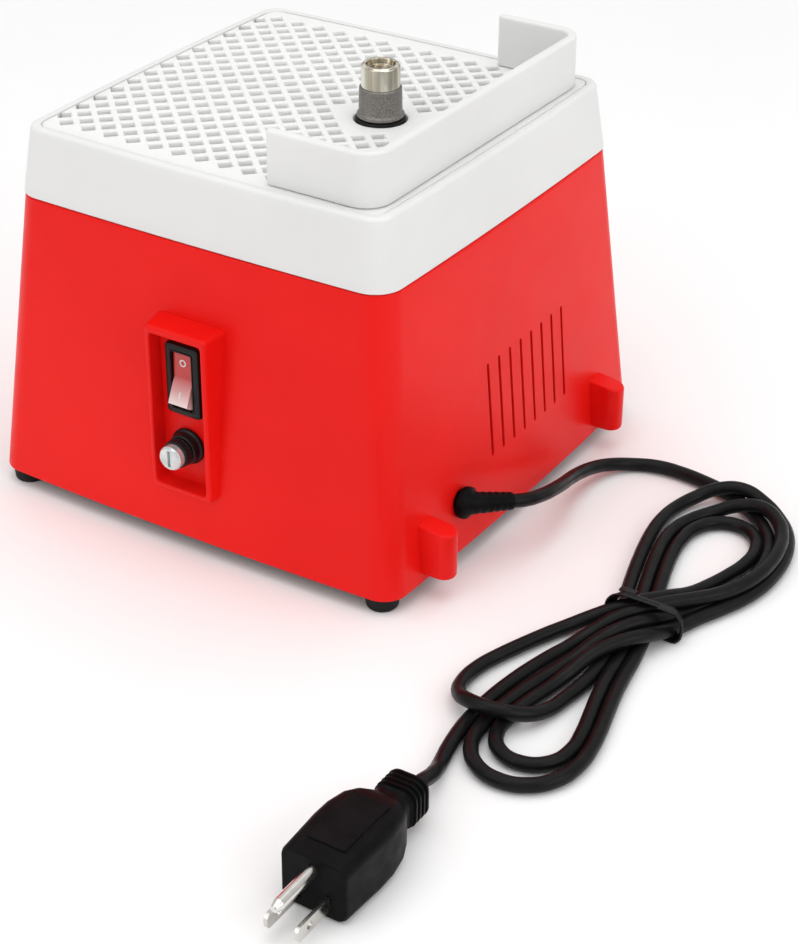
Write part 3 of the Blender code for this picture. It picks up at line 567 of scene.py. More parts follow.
def stage():
    """A plain pale floor, a sky that brightens upwards, and three soft lamps."""
    ground = bmesh.new()
    bmesh.ops.create_grid(ground, x_segments=1, y_segments=1, size=6.0)
    mesh = bpy.data.meshes.new("floor")
    ground.to_mesh(mesh)
    ground.free()
    floor = bpy.data.objects.new("floor", mesh)
    mesh.materials.append(floor_paint())
    bpy.context.scene.collection.objects.link(floor)
    world = bpy.data.worlds.new("studio")
    world.use_nodes = True
    tree = world.node_tree
    background = tree.nodes["Background"]
    background.inputs["Color"].default_value = (1.0, 1.0, 1.0, 1.0)
    split = tree.nodes.new("ShaderNodeSeparateXYZ")
    level = tree.nodes.new("ShaderNodeMapRange")
    for name, value in (("From Min", -0.1), ("From Max", 0.9), ("To Min", 0.5), ("To Max", 0.85)):
        level.inputs[name].default_value = value
    direction = tree.nodes.new("ShaderNodeTexCoord").outputs["Generated"]
    tree.links.new(direction, split.inputs["Vector"])
    tree.links.new(split.outputs["Z"], level.inputs["Value"])
    tree.links.new(level.outputs["Result"], background.inputs["Strength"])
    bpy.context.scene.world = world
    middle = (0.02, 0.03, 0.08)
    softbox("overhead", (0.1, 0.1, 1.6), middle, (1.6, 1.6), 9)
    softbox("switch_side", (1.6, -0.5, 0.9), middle, (1.0, 1.4), 5)
    softbox("back_side", (0.2, 1.8, 0.9), middle, (1.4, 1.2), 8)
    bpy.context.scene.view_settings.view_transform = "Standard"


# --------------------------------------------------------------------- cord

RELIEF_ROOT = np.array([GLAND_X, 110.8, GLAND_Z])
RELIEF_LEAN = unit(np.array([-0.79, 0.62, -0.14]))
RELIEF_LENGTH = 21.0
CORD_STEP = 4.0
SETTLING_ROUNDS = 320
WAIST_X = 57
# The route, chosen over the photograph: from the strain relief to the hank, the hank's lobes
# in the order that the cord was laid, and into the plug. A raised point says which strand is on top.
LEAD = [
    (28, 128.2, 26.3), (20, 129.2, 24.4), (10, 129, 21.8), (-2, 127.3, 18), (-15, 125, 14),
    (-29, 124, 10), (-43, 126, 6.6), (-54, 132.5, 4), (-60, 142, 3.1), (-62, 153, 3.1),
]
TAIL = [
    (184, 176.5, 3.1), (190, 178.4, 5.5), (197, 179.8, 9.4), (205, 180.1, 11), (212, 180.1, 11),
]
LOBES = [
    [
        (-61, 166, 3.1), (-57, 184, 3.1), (-48, 200, 3.1), (-33, 213, 3.1), (-14, 221.5, 3.1),
        (8, 223, 3.1), (28, 217, 3.1), (42, 210, 5), (57, 204, 9.4), (71, 198, 9.4),
    ],
    [
        (85, 191, 5), (102, 185, 3.1), (122, 180.5, 3.1), (141, 177.9, 3.1), (157, 177.5, 3.1),
        (172, 183.8, 3.1), (178.5, 199, 3.1), (172, 214.2, 3.1), (157, 220.5, 3.1),
        (138, 218.7, 3.1), (117, 213.5, 3.1), (94, 208, 3.1), (72, 204, 3.1), (55, 200, 3.1),
    ],
    [
        (39, 195, 3.1), (16, 188.2, 3.1), (-2, 184.6, 3.1), (-19, 183.8, 3.1), (-30.5, 188.5, 3.1),
        (-35.2, 200, 3.1), (-30.5, 211.5, 3.1), (-19, 216.2, 3.1), (0, 214, 3.1), (20, 208, 4),
        (38, 201, 7), (52, 195, 9.4), (62, 186, 8),
    ],
    [
        (70, 176, 4.5), (87, 168, 3.1), (108, 160, 3.1), (128, 155.5, 3.1), (142.5, 160.5, 3.1),
        (149.5, 174, 8), (145, 188, 9.3), (131, 194, 6), (117, 196, 3.1), (102, 198, 3.1),
        (85, 197, 3.1), (69, 194, 3.1), (54, 188, 3.1),
    ],
    [
        (39, 182, 3.1), (20, 176.5, 3.1), (-2, 171, 3.1), (-24, 168.5, 3.1), (-40, 171.5, 4),
        (-50, 179, 9.3), (-55, 190, 9.3), (-55, 202, 5), (-48.5, 214, 3.1), (-35.5, 223, 3.1),
        (-16, 228.5, 3.1), (6, 228, 3.1), (28, 220.5, 3.1), (44, 213, 5), (60, 210, 9.4),
        (75, 205, 9.4),
    ],
    [
        (90, 196, 4), (108, 189.8, 3.1), (130, 184.8, 3.1), (150, 183.7, 3.1), (161, 188.2, 3.1),
        (165.5, 199, 3.1), (161, 209.8, 3.1), (150, 214.3, 3.1), (130, 211.5, 3.1), (108, 206, 3.1),
        (84, 201, 3.1), (60, 196, 3.1),
    ],
    [
        (37, 189, 3.1), (17, 183, 3.1), (-2, 178, 3.1), (-18, 177, 5), (-31, 181.5, 9.3),
        (-41, 190, 9.3), (-45.5, 201, 9.3), (-43, 212, 5), (-34, 220.5, 3.1), (-19, 226, 5),
        (-3, 227.5, 8), (13, 225.5, 9.3), (27, 219, 9.3), (41, 209, 9.3), (56, 199, 9.4),
        (68, 190, 9),
    ],
    [
        (80, 183.5, 5), (95, 178.5, 3.1), (114, 174, 3.1), (135, 171.3, 3.1), (155, 171, 3.1),
        (172, 173.6, 3.1),
    ],
]


def settled_cord():
    """Relaxes the route like a real lead: crossing strands climb over each other in the order that
    the route's heights give, neighbours lie side by side, and the rest sinks to the floor."""
    relief_end = RELIEF_ROOT + RELIEF_LEAN * RELIEF_LENGTH
    start = [relief_end - RELIEF_LEAN * 6, relief_end, relief_end + RELIEF_LEAN * 4]
    route = [tuple(p) for p in start] + LEAD + [p for lobe in LOBES for p in lobe] + TAIL
    line = spline(route, CORD_STEP)
    wanted = line.copy()
    count = len(line)
    along = np.arange(count) * CORD_STEP
    free = np.clip((along - 130) / 40, 0, 1) * np.clip((along[-1] - 32 - along) / 30, 0, 1)
    free = free[:, None]
    lowest = CORD_D / 2 + 0.45
    gap = CORD_D * 1.02
    far = np.arange(count)[None] - np.arange(count)[:, None] > 5
    for _ in range(SETTLING_ROUNDS):
        apart = line[:, None] - line[None]
        i, j = np.nonzero((np.einsum("ijk,ijk->ij", apart, apart) < (gap + 1.5) ** 2) & far)
        ahead = np.gradient(line, axis=0)
        ahead /= np.linalg.norm(ahead, axis=1)[:, None]
        across = np.cross(ahead[i], ahead[j])
        size = np.linalg.norm(across, axis=1)
        crossing = size > 0.35
        away = apart[i, j]
        flat = away - ahead[i] * np.einsum("ij,ij->i", away, ahead[i])[:, None]
        length = np.maximum(np.linalg.norm(flat, axis=1), 1e-6)
        normal = flat / length[:, None]
        order = wanted[i, 2] - wanted[j, 2]
        lifted = across / np.maximum(size, 1e-6)[:, None]
        lifted *= np.sign(lifted[:, 2:] + 1e-9)
        height = np.einsum("ij,ij->i", away, lifted)
        side = np.where(np.abs(order) > 1.0, np.sign(order), np.sign(height + 1e-9))
        depth = np.where(crossing, gap - height * side, gap - length)
        normal = np.where(crossing[:, None], lifted * side[:, None], normal)
        inside = np.linalg.norm(away, axis=1) < gap + 1.5 * crossing
        shove = normal * (np.clip(depth, 0, gap) * inside * 0.25)[:, None]
        push = np.zeros_like(line)
        np.add.at(push, i, shove)
        np.add.at(push, j, -shove)
        size = np.linalg.norm(push, axis=1)[:, None]
        push *= np.minimum(1, 1.2 / np.maximum(size, 1e-9))
        line = line + push * free
        for k, strength in ((1, 0.45), (2, 0.2)):
            bend, twist = np.zeros_like(line), np.zeros_like(line)
            bend[k:-k] = (line[: -2 * k] + line[2 * k :]) / 2 - line[k:-k]
            twist[k:-k] = (bend[: -2 * k] + bend[2 * k :]) / 2 - bend[k:-k]
            line = line - strength * twist * free
        line[:, 2] -= 0.06 * free[:, 0]
        line[:, :2] += ((wanted - line) * 0.1 * free)[:, :2]
        line[:, 2] = np.maximum(line[:, 2], lowest)
    return line


def bezier(name, points, radius, look):
    """A smooth round cable through points in machine millimetres."""
    curve = bpy.data.curves.new(name, "CURVE")
    curve.dimensions = "3D"
    curve.bevel_depth = radius * MM
    curve.bevel_resolution = 7
    curve.use_fill_caps = True
    curve.resolution_u = 6
    line = curve.splines.new("BEZIER")
    line.bezier_points.add(len(points) - 1)
    for knot, place in zip(line.bezier_points, points):
        knot.co = ORIGIN + Vector(place) * MM
        knot.handle_left_type = knot.handle_right_type = "AUTO"
    made = bpy.data.objects.new(name, curve)
    bpy.context.scene.collection.objects.link(made)
    made.data.materials.append(look)
    return made


def relief():
    """The moulded strain relief: a wall flange, then a tapered tail with flex grooves."""
    stations = [
        (-3.0, 5.2), (-2.6, 6.9), (-1.9, 7.2), (0.2, 7.2), (1.1, 6.9), (1.8, 6.0), (2.6, 5.1),
    ]
    for k in range(5):
        s = 4.6 + 3.1 * k
        outer = 4.9 - 0.17 * k
        stations += [(s - 0.9, outer), (s, outer), (s + 0.35, outer - 0.35), (s + 1.0, outer - 0.4)]
    stations += [(18.6, 4.05), (RELIEF_LENGTH - 1.0, 3.9)]
    stations += [(RELIEF_LENGTH - 0.2, 3.7), (RELIEF_LENGTH, 3.3)]
    stations.sort()
    rings = []
    for s, radius in stations:
        lean = max(0.0, min(1.0, s / 6))
        heading = unit(np.array([0, 1, 0]) * (1 - lean) + RELIEF_LEAN * lean)
        centre = RELIEF_ROOT + (np.array([0, 1.0, 0]) * s if s < 0 else RELIEF_LEAN * s)
        side = unit(np.cross(heading, (0, 0, 1)))
        up = np.cross(side, heading)
        rings.append([tuple(centre + u * side + v * up) for u, v in circle(radius, 40)])
    boot = loft(rings)
    return piece("strain_relief_boot", boot, PLUG_PVC, "machine", ["strain_relief"], 50)


def tie(line):
    """A twist tie round the waist, sized to the strands inside it, with its two twisted ends."""
    near = line[np.abs(line[:, 0] - WAIST_X) < 3.5]
    low_y, high_y = near[:, 1].min() - 4.0, near[:, 1].max() + 4.0
    top = near[:, 2].max() + 4.0
    middle, half = (low_y + high_y) / 2, (high_y - low_y) / 2
    outline = rounded_rect(half, top / 2 - 0.1, min(6.5, top / 2 - 0.2), 8)
    turns = 1.6
    lowest = 1.3
    path = []
    steps = int(len(outline) * turns)
    for i in range(steps):
        u, v = outline[i % len(outline)]
        lift = 1.0 + 0.07 * i / len(outline)
        x = WAIST_X - 1.8 + 3.8 * i / steps
        path.append((x, middle + u * lift, max(lowest, top / 2 + 0.05 + v * lift)))
    strap = tube(spline(path, 1.6), rounded_rect(1.9, 0.55, 0.5, 3))
    ends = []
    for side in (1, -1):
        root = np.array([WAIST_X + 1.5 * side, middle + 6.0 * side, top + 1.0])
        curl = [(0.5 * side, 1.9 * k * side, 0.12 * k - 0.05 * k * k) for k in range(5)]
        wire = [root + np.array(step) for step in curl]
        ends.append(tube(spline(wire, 1.2), rounded_rect(1.5, 0.45, 0.4, 3)))
    return piece("twist_tie", merged(strap, *ends), "black_plastic", "machine", ["cord_tie"], 50)


def mains_lead():
    """The whole cord as one curve, with the pieces that sit on it."""
    line = settled_cord()
    knots = np.vstack([line[:-2:3], line[-1:]])
    lead = bezier("mains_lead", knots, CORD_D / 2, CORD_PVC)
    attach(lead, "machine")
    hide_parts("power_cord", "cord_tail", "cord_hank")
    boot = relief()
    band = tie(line)
    parts = plug()


def plug():
    """The moulded plug: ribbed collar, neck, body with a blank raised panel, blades and pin."""
    # Each station is (x, half width, half height, lift, corner as a share of the smaller half).
    stations = [
        (0, 4.3, 4.3, -2.0, 0.9), (0.8, 5.2, 5.2, -2.0, 0.9), (3, 7.2, 7.3, -1.6, 0.8),
        (4, 8.0, 8.2, -1.5, 0.7),
    ]
    for k in range(4):
        rib = 4.4 + 2.6 * k
        stations += [
            (rib + 0.2, 8.5, 8.7, -1.3, 0.6), (rib + 1.3, 8.7, 8.9, -1.2, 0.6),
            (rib + 1.6, 7.9, 8.1, -1.2, 0.6), (rib + 2.3, 7.9, 8.1, -1.1, 0.6),
        ]
    stations += [
        (15.4, 8.4, 8.6, -1.0, 0.6), (16.4, 7.6, 8.0, -0.9, 0.6), (19, 7.6, 8.0, -0.7, 0.6),
        (21, 9.3, 9.2, -0.5, 0.6), (25, 11.8, 11.3, -0.2, 0.5), (30, 13.7, 12.2, 0.0, 0.42),
        (38, 14.8, 12.8, 0.0, 0.38), (46, 14.8, 12.9, 0.0, 0.36), (56, 14.3, 12.7, 0.0, 0.36),
    ]
    length = PLUG_FACE - PLUG_BACK
    for back, wider in ((1.4, 1.2), (0.4, 0.8), (0, 0)):
        stations.append((length - back, 12.7 + wider, 11.2 + wider, 0.0, 0.36))
    rings = []
    for x, half_y, half_z, lift, share in stations:
        outline = rounded_rect(half_y, half_z, min(half_y, half_z) * share, 8)
        rings.append([(PLUG_BACK + x, PLUG_Y + u, PLUG_Z + lift + v) for u, v in outline])
    body = piece("plug_moulding", loft(rings))
    panel = box(
        (PLUG_BACK + 30, PLUG_Y - 8, PLUG_Z + 12), (PLUG_FACE - 8, PLUG_Y + 8, PLUG_Z + 13.4)
    )
    blades = (("left", PLUG_Y - BLADE_Y), ("right", PLUG_Y + BLADE_Y))
    pin_place = (PLUG_FACE, PLUG_Y, PIN_Z)
    low, high = BLADE_LOW - 0.2, BLADE_LOW + BLADE_WIDTH + 0.2
    sockets = [box((PLUG_FACE - 8, y - 1.0, low), (PLUG_FACE + 1, y + 1.0, high)) for _, y in blades]
    sockets.append(drill(2.6, -8, 1, 40, pin_place, ALONG_X))
    carve(body, ("UNION", rounded_edges(panel, 0.5)), ("DIFFERENCE", merged(*sockets)))
    parts = [dress(body, PLUG_PVC, "machine", ["plug_body"], 35)]
    for name, y in blades:
        outline = fillet(
            [(-7.7, 0), (18.6, 0, 1.2), (19.8, 1.6, 1.0), (19.8, 4.7, 1.0),
             (18.6, BLADE_WIDTH, 1.2), (-7.7, BLADE_WIDTH)], 4, True,
        )
        sides = (y - 0.75, y + 0.75)
        sheet = loft([[(PLUG_FACE + u, side, BLADE_LOW + v) for u, v in outline] for side in sides])
        blade = piece("blade_" + name + "_strip", rounded_edges(sheet, 0.22, 2, 50))
        eye = drill(1.6, -3, 3, 32, (PLUG_FACE + 12.5, y, BLADE_LOW + BLADE_WIDTH / 2), ALONG_Y)
        carve(blade, ("DIFFERENCE", eye))
        parts.append(dress(blade, BLADE_METAL, "machine", ["blade_" + name], 35))
    profile = fillet([(0, -7.7), (2.5, -7.7, 0.3), (2.5, 20.6, 1.5), (1.4, 23.6, 1.0), (0, 24)], 6)
    pin = piece("ground_pin_tube", turned(profile, 48, pin_place, ALONG_X))
    groove = box(
        (PLUG_FACE - 2, PLUG_Y - 0.35, PIN_Z - 3.0), (PLUG_FACE + 18, PLUG_Y + 0.35, PIN_Z - 1.3)
    )
    carve(pin, ("DIFFERENCE", groove))
    parts.append(dress(pin, BLADE_METAL, "machine", ["ground_pin"], 35))
    return parts


# ------------------------------------------------------------------ machine


def casing(z, inset=0.0):
    """The housing's plan at a height: it draws in towards the deck."""
    share = (z - BASE_Z) / (DECK_Z - BASE_Z)
    half_x = BASE_HALF[0] - DECK_LOSS[0] * share - inset
    half_y = BASE_HALF[1] - DECK_LOSS[1] * share - inset
    corner = BASE_CORNER + DECK_CORNER_GAIN * share - inset
    return [(x, y, z) for x, y in plan(half_x, half_y, corner, HOUSING_BOW, 8, 14)]


def stadium(cx, cy, half, radius, count):
    """Points of an upright stadium round (cx, cy), with straight sides 2 * half long."""
    made = []
    for start, end_y in ((0, cy + half), (math.pi, cy - half)):
        for i in range(count + 1):
            a = start + math.pi * i / count
            made.append((cx + radius * math.cos(a), end_y + radius * math.sin(a)))
    return made


def pod_block():
    """The switch pod's outside, with rounded front edges: it widens towards the housing."""
    rings = []
    for back, grow, inset, radius in (
        (19.5, 3.2, 0, 2.4), (9.5, 1.4, 0, 2.2), (1.6, 0.05, 0, 2.0), (0.7, 0, 0.35, 1.8),
        (0.2, 0, 0.8, 1.5), (0, 0, 1.3, 1.2),
    ):
        half_y, half_z = POD_HALF_Y + grow - inset, POD_HALF_Z + grow * 0.5 - inset
        outline = rounded_rect(half_y, half_z, radius, 5)
        rings.append([(POD_FRONT_X - back, POD_Y + u, POD_MID_Z + v) for u, v in outline])
    return loft(rings)


def pod_recess():
    """The cutter for the pod's opening: drafted walls, and a softened front edge."""
    rings = []
    depth = POD_FRONT_X - PANEL_X
    for back, grow in ((depth, -0.35), (0.8, -0.05), (0.3, 0.12), (0.05, 0.4), (-0.3, 0.9)):
        outline = rounded_rect(RECESS_HALF_Y + grow, RECESS_HALF_Z + grow, 1.6 + max(grow, 0), 5)
        rings.append([(POD_FRONT_X - back, POD_Y + u, RECESS_MID_Z + v) for u, v in outline])
    return loft(rings)


def lug(x):
    """An upright lug with a half-round nose, a sloping top and softened edges."""
    rings = []
    for z, inset in ((11.5, 1.0), (11.8, 0.4), (12.5, 0.0), (35.0, 0.0), (35.7, 0.4), (36.0, 1.0)):
        radius = LUG_R - inset
        outline = [(x - radius, 98.0), (x + radius, 98.0)]
        for i in range(17):
            a = math.pi * i / 16
            outline.append((x + radius * math.cos(a), LUG_NOSE_Y + radius * math.sin(a)))
        slope = 0.22 if z > 20 else 0.0
        rings.append([(px, py, z - slope * max(0.0, py - 107.6)) for px, py in outline])
    return loft(rings)


def housing():
    """The red shell with its pod, lugs, vents and holes."""
    outer = [(BASE_Z, 0.9), (BASE_Z + 0.25, 0.35), (BASE_Z + 0.9, 0.0)]
    outer += [(z, 0.0) for z in np.linspace(12, 136, 12)]
    outer += [(DECK_Z - 0.8, 0.0), (DECK_Z - 0.3, 0.25), (DECK_Z, 0.8)]
    ceiling = DECK_Z - WALL
    rings = [casing(z, WALL) for z in (ceiling, 110, 60, BASE_Z)]
    shell = piece("housing_shell", loft(rings + [casing(z, inset) for z, inset in outer]))
    vents = []
    for i in range(VENT_COUNT):
        outline = stadium(VENT_X - VENT_PITCH * i, VENT_MID_Z, VENT_HALF, 0.95, 8)
        vents.append(loft([[(x, y, z) for x, z in outline] for y in (90, 115)]))
    holes = [
        drill(GLAND_R, 90, 118, 48, (GLAND_X, 0, GLAND_Z), ALONG_Y),
        drill(12.5, 130, 145, 48),
        box((100, POD_Y - 7.1, SWITCH_Z - 14.8), (110, POD_Y + 7.1, SWITCH_Z + 14.8)),
        drill(6.4, -6, 3, 40, (PANEL_X, POD_Y, FUSE_Z), ALONG_X),
        box((80, POD_Y - 12.2, 33), (PANEL_X - WALL, POD_Y + 12.2, 103.5)),
    ]
    hollow = merged(loft([casing(BASE_Z - 1, WALL), casing(ceiling, WALL)]))
    carve(shell, ("UNION", merged(pod_block(), *[lug(x) for x in LUG_XS])))
    cuts = (hollow, pod_recess(), merged(*vents), merged(*holes))
    carve(shell, *[("DIFFERENCE", cut) for cut in cuts])
    dress(shell, "red_plastic", "machine", ["housing"], 32)


def tray_plan(z, inset=0.0, corner=None):
    """The tray's plan at a height: it draws in towards the rim."""
    share = (z - DECK_Z) / (RIM_Z - DECK_Z)
    half_x = TRAY_HALF[0] - RIM_LOSS[0] * share - inset
    half_y = TRAY_HALF[1] - RIM_LOSS[1] * share - inset
    if corner is None:
        corner = TRAY_CORNER - RIM_CORNER_LOSS * share - inset * 0.6
    return [(x, y, z) for x, y in plan(half_x, half_y, corner, TRAY_BOW, 8, 14)]


def tray():
    """The white basin, with its rounded rim, the lattice's ledge, and the chimney."""
    outer = [(141.7, 0.7), (141.85, 0.25), (142.4, 0.0), (150, 0.0), (160, 0.0), (170.6, 0.0)]
    outer += [(171.5, 0.2), (172.05, 0.65), (RIM_Z, 1.3)]
    inner = [(RIM_Z, 3.1), (172.1, 3.7), (171.6, 4.0), (168.4, 4.1), (168.1, 4.2), (168.1, 6.2)]
    inner += [(167.8, 6.5), (150, 7.2), (146.0, 7.5), (145.1, 8.2), (144.7, 9.6)]
    made = piece("basin", loft([tray_plan(z, inset) for z, inset in outer + inner]))
    chimney = [(0, 143), (9.6, 143), (9.0, 159.6), (8.8, 160.4), (8.0, 161.0), (0, 161.0)]
    carve(made, ("UNION", turned(chimney, 56)), ("DIFFERENCE", drill(6.0, 130, 175, 56)))
    dress(made, "white_plastic", "machine", ["water_tray"], 32)


def grid():
    """The lattice plate: rows of square drain holes standing on their corners, with eased edges."""
    low, high = LATTICE_LOW, LATTICE_HIGH
    levels = [(low, 0.5), (low + 0.3, 0.1), (low + 0.8, 0.0)]
    levels += [(high - 0.4, 0.0), (high - 0.1, 0.1), (high, 0.35)]
    rings = [[(x, y, z) for x, y, _ in tray_plan(RIM_Z, 4.3 + d, 5.3 - d)] for z, d in levels]
    plate = piece("lattice_plate", loft(rings))
    hole_levels = ((low - 1, 3.75), (high - 0.9, 3.95), (high - 0.35, 4.1), (high + 0.05, 4.6))
    bm = bmesh.new()
    for column in range(-13, 14):
        for row in range(-14, 13):
            x, y = column * LATTICE_PITCH, row * LATTICE_PITCH
            near_bit = math.hypot(x - AXIS[0], y - AXIS[1]) < BIT_CLEARANCE
            if (column + row) % 2 or near_bit or y > 74:
                continue
            rings = []
            for z, r in hole_levels:
                corners = ((x + r, y, z), (x, y + r, z), (x - r, y, z), (x, y - r, z))
                rings.append([bm.verts.new(corner) for corner in corners])
            for below, above in zip(rings, rings[1:]):
                for i in range(4):
                    bm.faces.new((below[i], below[(i + 1) % 4], above[(i + 1) % 4], above[i]))
            bm.faces.new(rings[0])
            bm.faces.new(rings[-1])
    bit_hole = [(0, low - 1), (11.7, low - 1), (11.7, high - 0.8), (11.9, high - 0.25)]
    bit_hole += [(12.4, high + 0.05), (0, high + 0.05)]
    carve(plate, ("DIFFERENCE", bm), ("DIFFERENCE", turned(bit_hole, 64)))
    dress(plate, LATTICE_WHITE, "worktop", ["worktop_grid"], 32)


def guard_ring(z, inset):
    """The splash guard's wall in plan at a height: one thick line with round ends and corners."""
    half = GUARD_HALF_WALL - inset
    centre_x = GUARD_HALF_X - GUARD_HALF_WALL
    bend_x, bend_y = centre_x - GUARD_CORNER, GUARD_BACK_Y - GUARD_HALF_WALL - GUARD_CORNER
    line = []
    for side, sweep in ((1, range(9)), (-1, range(8, -1, -1))):
        for i in sweep:
            nx, ny = math.cos(i / 8 * math.pi / 2), math.sin(i / 8 * math.pi / 2)
            x, y = side * (bend_x + GUARD_CORNER * nx), bend_y + GUARD_CORNER * ny
            line.append((x, y, side * nx, ny))
    outer, inner = ([(x + d * nx, y + d * ny) for x, y, nx, ny in line] for d in (half, -half))

    def leg(side, end_y):
        turns = [math.pi + math.pi * i / 10 for i in range(11)]
        return [(side * centre_x + half * math.cos(a), end_y + half * math.sin(a)) for a in turns]

    whole = leg(1, GUARD_NEAR_END) + outer + leg(-1, GUARD_FAR_END) + inner[::-1]
    return [(x, y, z) for x, y in whole]


def guard():
    """The U-shaped splash guard, whose top edge is rounded over."""
    low, high = GUARD_LOW, GUARD_HIGH
    levels = [(low, 0.5), (low + 0.5, 0.0), (low + 8, 0.02), (low + 16, 0.05)]
    levels += [(high - 1.5, 0.1), (high - 0.8, 0.25), (high - 0.3, 0.6), (high, 1.2)]
    wall = loft([guard_ring(z, d) for z, d in levels])
    piece("guard_wall", wall, "white_plastic", "guard", ["splash_guard"], 32)


def bit():
    """The bit: a polished core with its rim and set screw, a diamond sleeve, and the slinger."""
    core = fillet(
        [(4.3, 173.2), (8.5, 173.2, 0.2), (8.5, 195.7, 0.6), (7.7, 196.5, 0.3), (6.4, 196.5, 0.4),
         (5.9, 193.9, 0.3), (4.3, 193.5)], 5, True,
    )
    barrel = piece("bit_barrel", turned(core, 72))
    screw_place = (*AXIS, SET_SCREW_Z)
    carve(barrel, ("DIFFERENCE", drill(1.75, -12, -3, 32, screw_place, ALONG_X)))
    dress(barrel, "nickel_brass", "spindle", ["bit_core"], 30)
    sleeve = fillet(
        [(8.7, 173.2), (10.3, 173.2, 0.3), (10.3, 174.3, 0.4), (9.45, 175.4, 0.8),
         (9.25, 186.0, 0.5), (8.7, 186.6)], 5,
    )
    piece("grit_sleeve", turned(sleeve, 96), "diamond_grit", "spindle", ["diamond_sleeve"], 40)
    shank = fillet([(0, -8.3), (1.4, -8.3, 0.15), (1.4, -4.6, 0.15), (0, -4.6)], 3)
    screw = piece("hex_set_screw", turned(shank, 32, screw_place, ALONG_X))
    socket = turned([(0, -9), (0.8, -9), (0.8, -6.9), (0, -6.5)], 6, screw_place, ALONG_X)
    carve(screw, ("DIFFERENCE", socket))
    dress(screw, "steel", "spindle", ["bit_set_screw"], 30)
    collar = fillet(
        [(4.3, 163.5), (9.6, 163.5), (9.6, 156.5, 0.3), (11.0, 156.5, 0.4), (11.1, 170.2, 0.4),
         (10.8, 170.8, 0.3), (11.1, 171.4, 0.4), (10.9, 172.6, 0.6), (4.3, 172.8)], 4, True,
    )
    piece("slinger_collar", turned(collar, 72), "rubber", "spindle", ["shaft_slinger"], 40)


def switch():
    """The rocker switch: a bezel with a lip round its well, and the paddle with its two marks."""
    front = PANEL_X + 3.3
    bezel = ((PANEL_X + 0.3, 0.3), (PANEL_X + 0.6, 0.0), (front - 1.3, 0.05), (front - 0.5, 0.35))
    lip = ((front, -0.2), (front + 0.35, 0.0), (front + 0.45, 0.2), (front + 0.3, 0.5))
    outlines = [
        (x, rounded_rect(8.8 - d, 16.75 - d, 1.6 - d * 0.4, 5)) for x, d in (*bezel, (front, 1.1))
    ]
    outlines += [(x, rounded_rect(5.9 - d, 14.0 - d, 0.9, 5)) for x, d in lip]
    outlines.append((front - 13, rounded_rect(5.35, 13.45, 0.6, 5)))
    rings = [[(x, POD_Y + u, SWITCH_Z + v) for u, v in outline] for x, outline in outlines]
    body = piece("switch_bezel", loft(rings))
    for low, high in ((-14.4, -13.5), (13.5, 14.4)):
        side = box((85, POD_Y - 6.8, SWITCH_Z + low), (PANEL_X + 1, POD_Y + 6.8, SWITCH_Z + high))
        carve(body, ("UNION", merged(side)))
    dress(body, "black_plastic", "machine", ["switch_body"], 32)
    tilt = Matrix.Rotation(math.radians(-13), 3, "Y")
    pivot = (front - 4.8, POD_Y, SWITCH_Z)
    ends = [math.radians(a) for a in (62, 69, 76, 83, 90)]
    upper = [(13 * math.cos(a), 13 * math.sin(a)) for a in ends]
    lower = [(x, -z) for x, z in upper[::-1]]
    profile = [(3.7, 0.0), *upper, (-4, 5), (-4, -5), *lower]
    paddle = loft([[(x, y, z) for x, z in profile] for y in (-4.9, 4.9)])
    rounded_edges(paddle, 0.55, 3, 24)
    piece("rocker_paddle", moved(paddle, pivot, tilt), "lamp_red", "rocker", ["rocker_button"], 32)
    slope = math.atan2(2.4, 11.5)
    edge = fillet([(1.1, -0.1), (1.1, 0.12, 0.04), (1.65, 0.12, 0.04), (1.65, -0.1)], 2, True)
    circle_mark = lathe(edge, 32)
    bar_mark = rounded_edges(box((-1.5, -0.28, -0.1), (1.5, 0.28, 0.12)), 0.06, 2)
    marks = []
    for bm, sign in ((circle_mark, 1), (bar_mark, -1)):
        lean = Matrix.Rotation(math.pi / 2 + sign * slope, 3, "Y")
        marks.append(moved(bm, (5.188, 0, sign * 7.2), lean))
    both = moved(merged(*marks), pivot, tilt)
    piece("rocker_marks", both, MARK_PAINT, "rocker", (), 32)


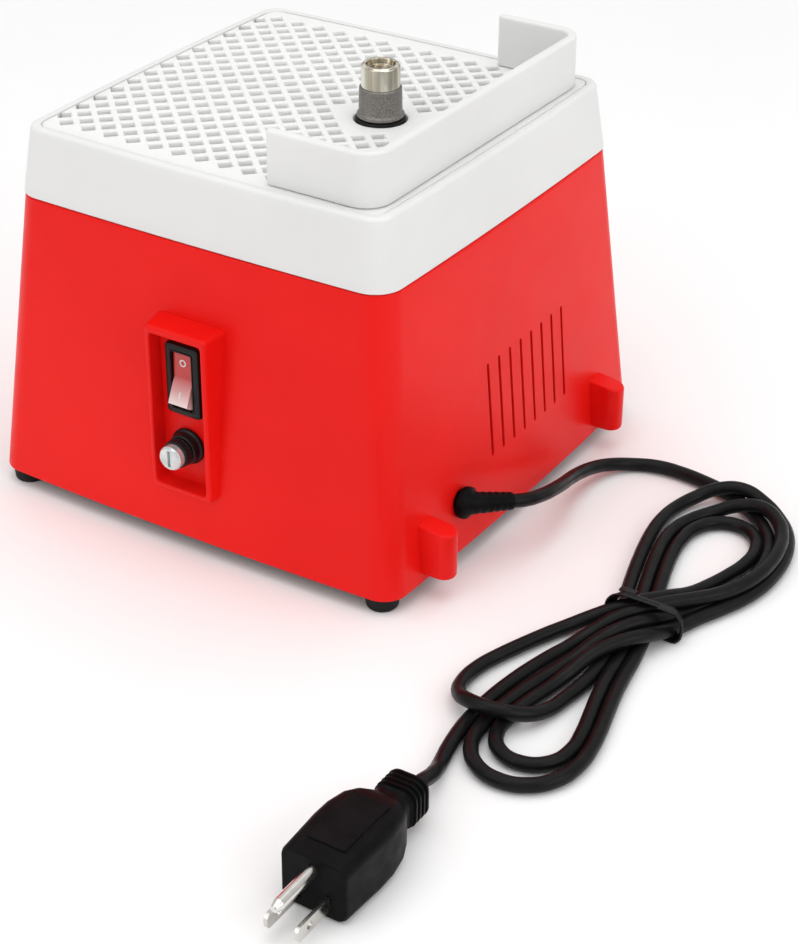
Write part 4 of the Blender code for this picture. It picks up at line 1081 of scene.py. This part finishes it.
def fuse():
    """The fuse holder's flange and barrel, and its fluted bayonet cap with a slotted tip."""
    origin = (PANEL_X, POD_Y, FUSE_Z)
    holder = fillet(
        [(4.0, 5.8), (4.0, -22), (3.2, -22), (3.2, -26), (6.0, -26), (6.0, 0.3), (8.3, 0.3, 0.3),
         (8.3, 1.7, 0.7), (7.3, 2.4, 0.4), (7.0, 5.4, 0.5), (6.5, 5.8, 0.2)], 4, True,
    )
    barrel = turned(holder, 64, origin, ALONG_X)
    piece("fuse_barrel", barrel, "black_plastic", "machine", ["fuse_holder"], 32)
    flutes = 20
    rings = []
    for x, radius, depth in (
        (6.1, 6.0, 0.0), (6.3, 6.3, 0.0), (7.0, 6.5, 0.0), (7.4, 6.5, 0.35), (9.6, 6.4, 0.35),
        (10.0, 6.3, 0.0), (10.5, 6.1, 0.0), (10.7, 5.7, 0.0),
    ):
        ring = []
        for i in range(flutes * 6):
            a = 2 * math.pi * i / (flutes * 6)
            r = radius - depth * (0.5 + 0.5 * math.cos(a * flutes))
            ring.append((x, r * math.cos(a), r * math.sin(a)))
        rings.append(ring)
    skirt = merged(moved(loft(rings), origin), drill(3.4, -0.4, 6.2, 40, origin, ALONG_X))
    piece("fuse_cap_skirt", skirt, "black_plastic", "fuse_cap", (), 32)
    tip = fillet([(0, 10.5), (5.5, 10.5, 0.2), (5.6, 13.6, 0.6), (4.9, 14.6, 0.5), (0, 14.7)], 5)
    lens = piece("fuse_cap_lens", turned(tip, 64, origin, ALONG_X))
    coin_slot = rounded_edges(box((12.9, -0.8, -3.9), (16, 0.8, 3.9)), 0.2, 2)
    carve(lens, ("DIFFERENCE", moved(coin_slot, origin)))
    dress(lens, "clear_plastic", "fuse_cap", ["fuse_cap"], 32)


def feet():
    """Moulded rubber feet with a ribbed side and a counterbore for the screw."""
    profile = fillet(
        [(1.9, 4.6), (3.6, 4.6), (3.6, 0.3, 0.3), (3.9, 0.0, 0.2), (6.2, 0.0, 0.5), (7.0, 0.9, 0.5),
         (7.2, 2.2, 0.2), (6.95, 2.6, 0.2), (7.3, 3.1, 0.2), (7.4, 6.3, 0.5), (7.0, 7.0), (1.9, 7.0)],
        4, True,
    )
    for y_name, sy in (("front", -1), ("back", 1)):
        for x_name, sx in (("left", -1), ("right", 1)):
            name = y_name + "_" + x_name
            foot = turned(profile, 56, (sx * FOOT_X, sy * FOOT_Y, 0))
            piece("rubber_foot_" + name, foot, "rubber", "machine", ["foot_" + name], 40)


def carried_over():
    """Gives every CAD node that stays its own material and softened edges."""
    for entry in frame["record"]["subparts"]:
        node = NODES[entry["node"]]
        if node.hide_render:
            continue
        node.data.materials.clear()
        node.data.materials.append(LOOKS[entry["material_slot"]])
        node.data.shade_smooth()
        node.data.set_sharp_from_angle(angle=math.radians(32))


camera()
stage()
mains_lead()
housing()
tray()
grid()
guard()
bit()
switch()
fuse()
feet()
carried_over()
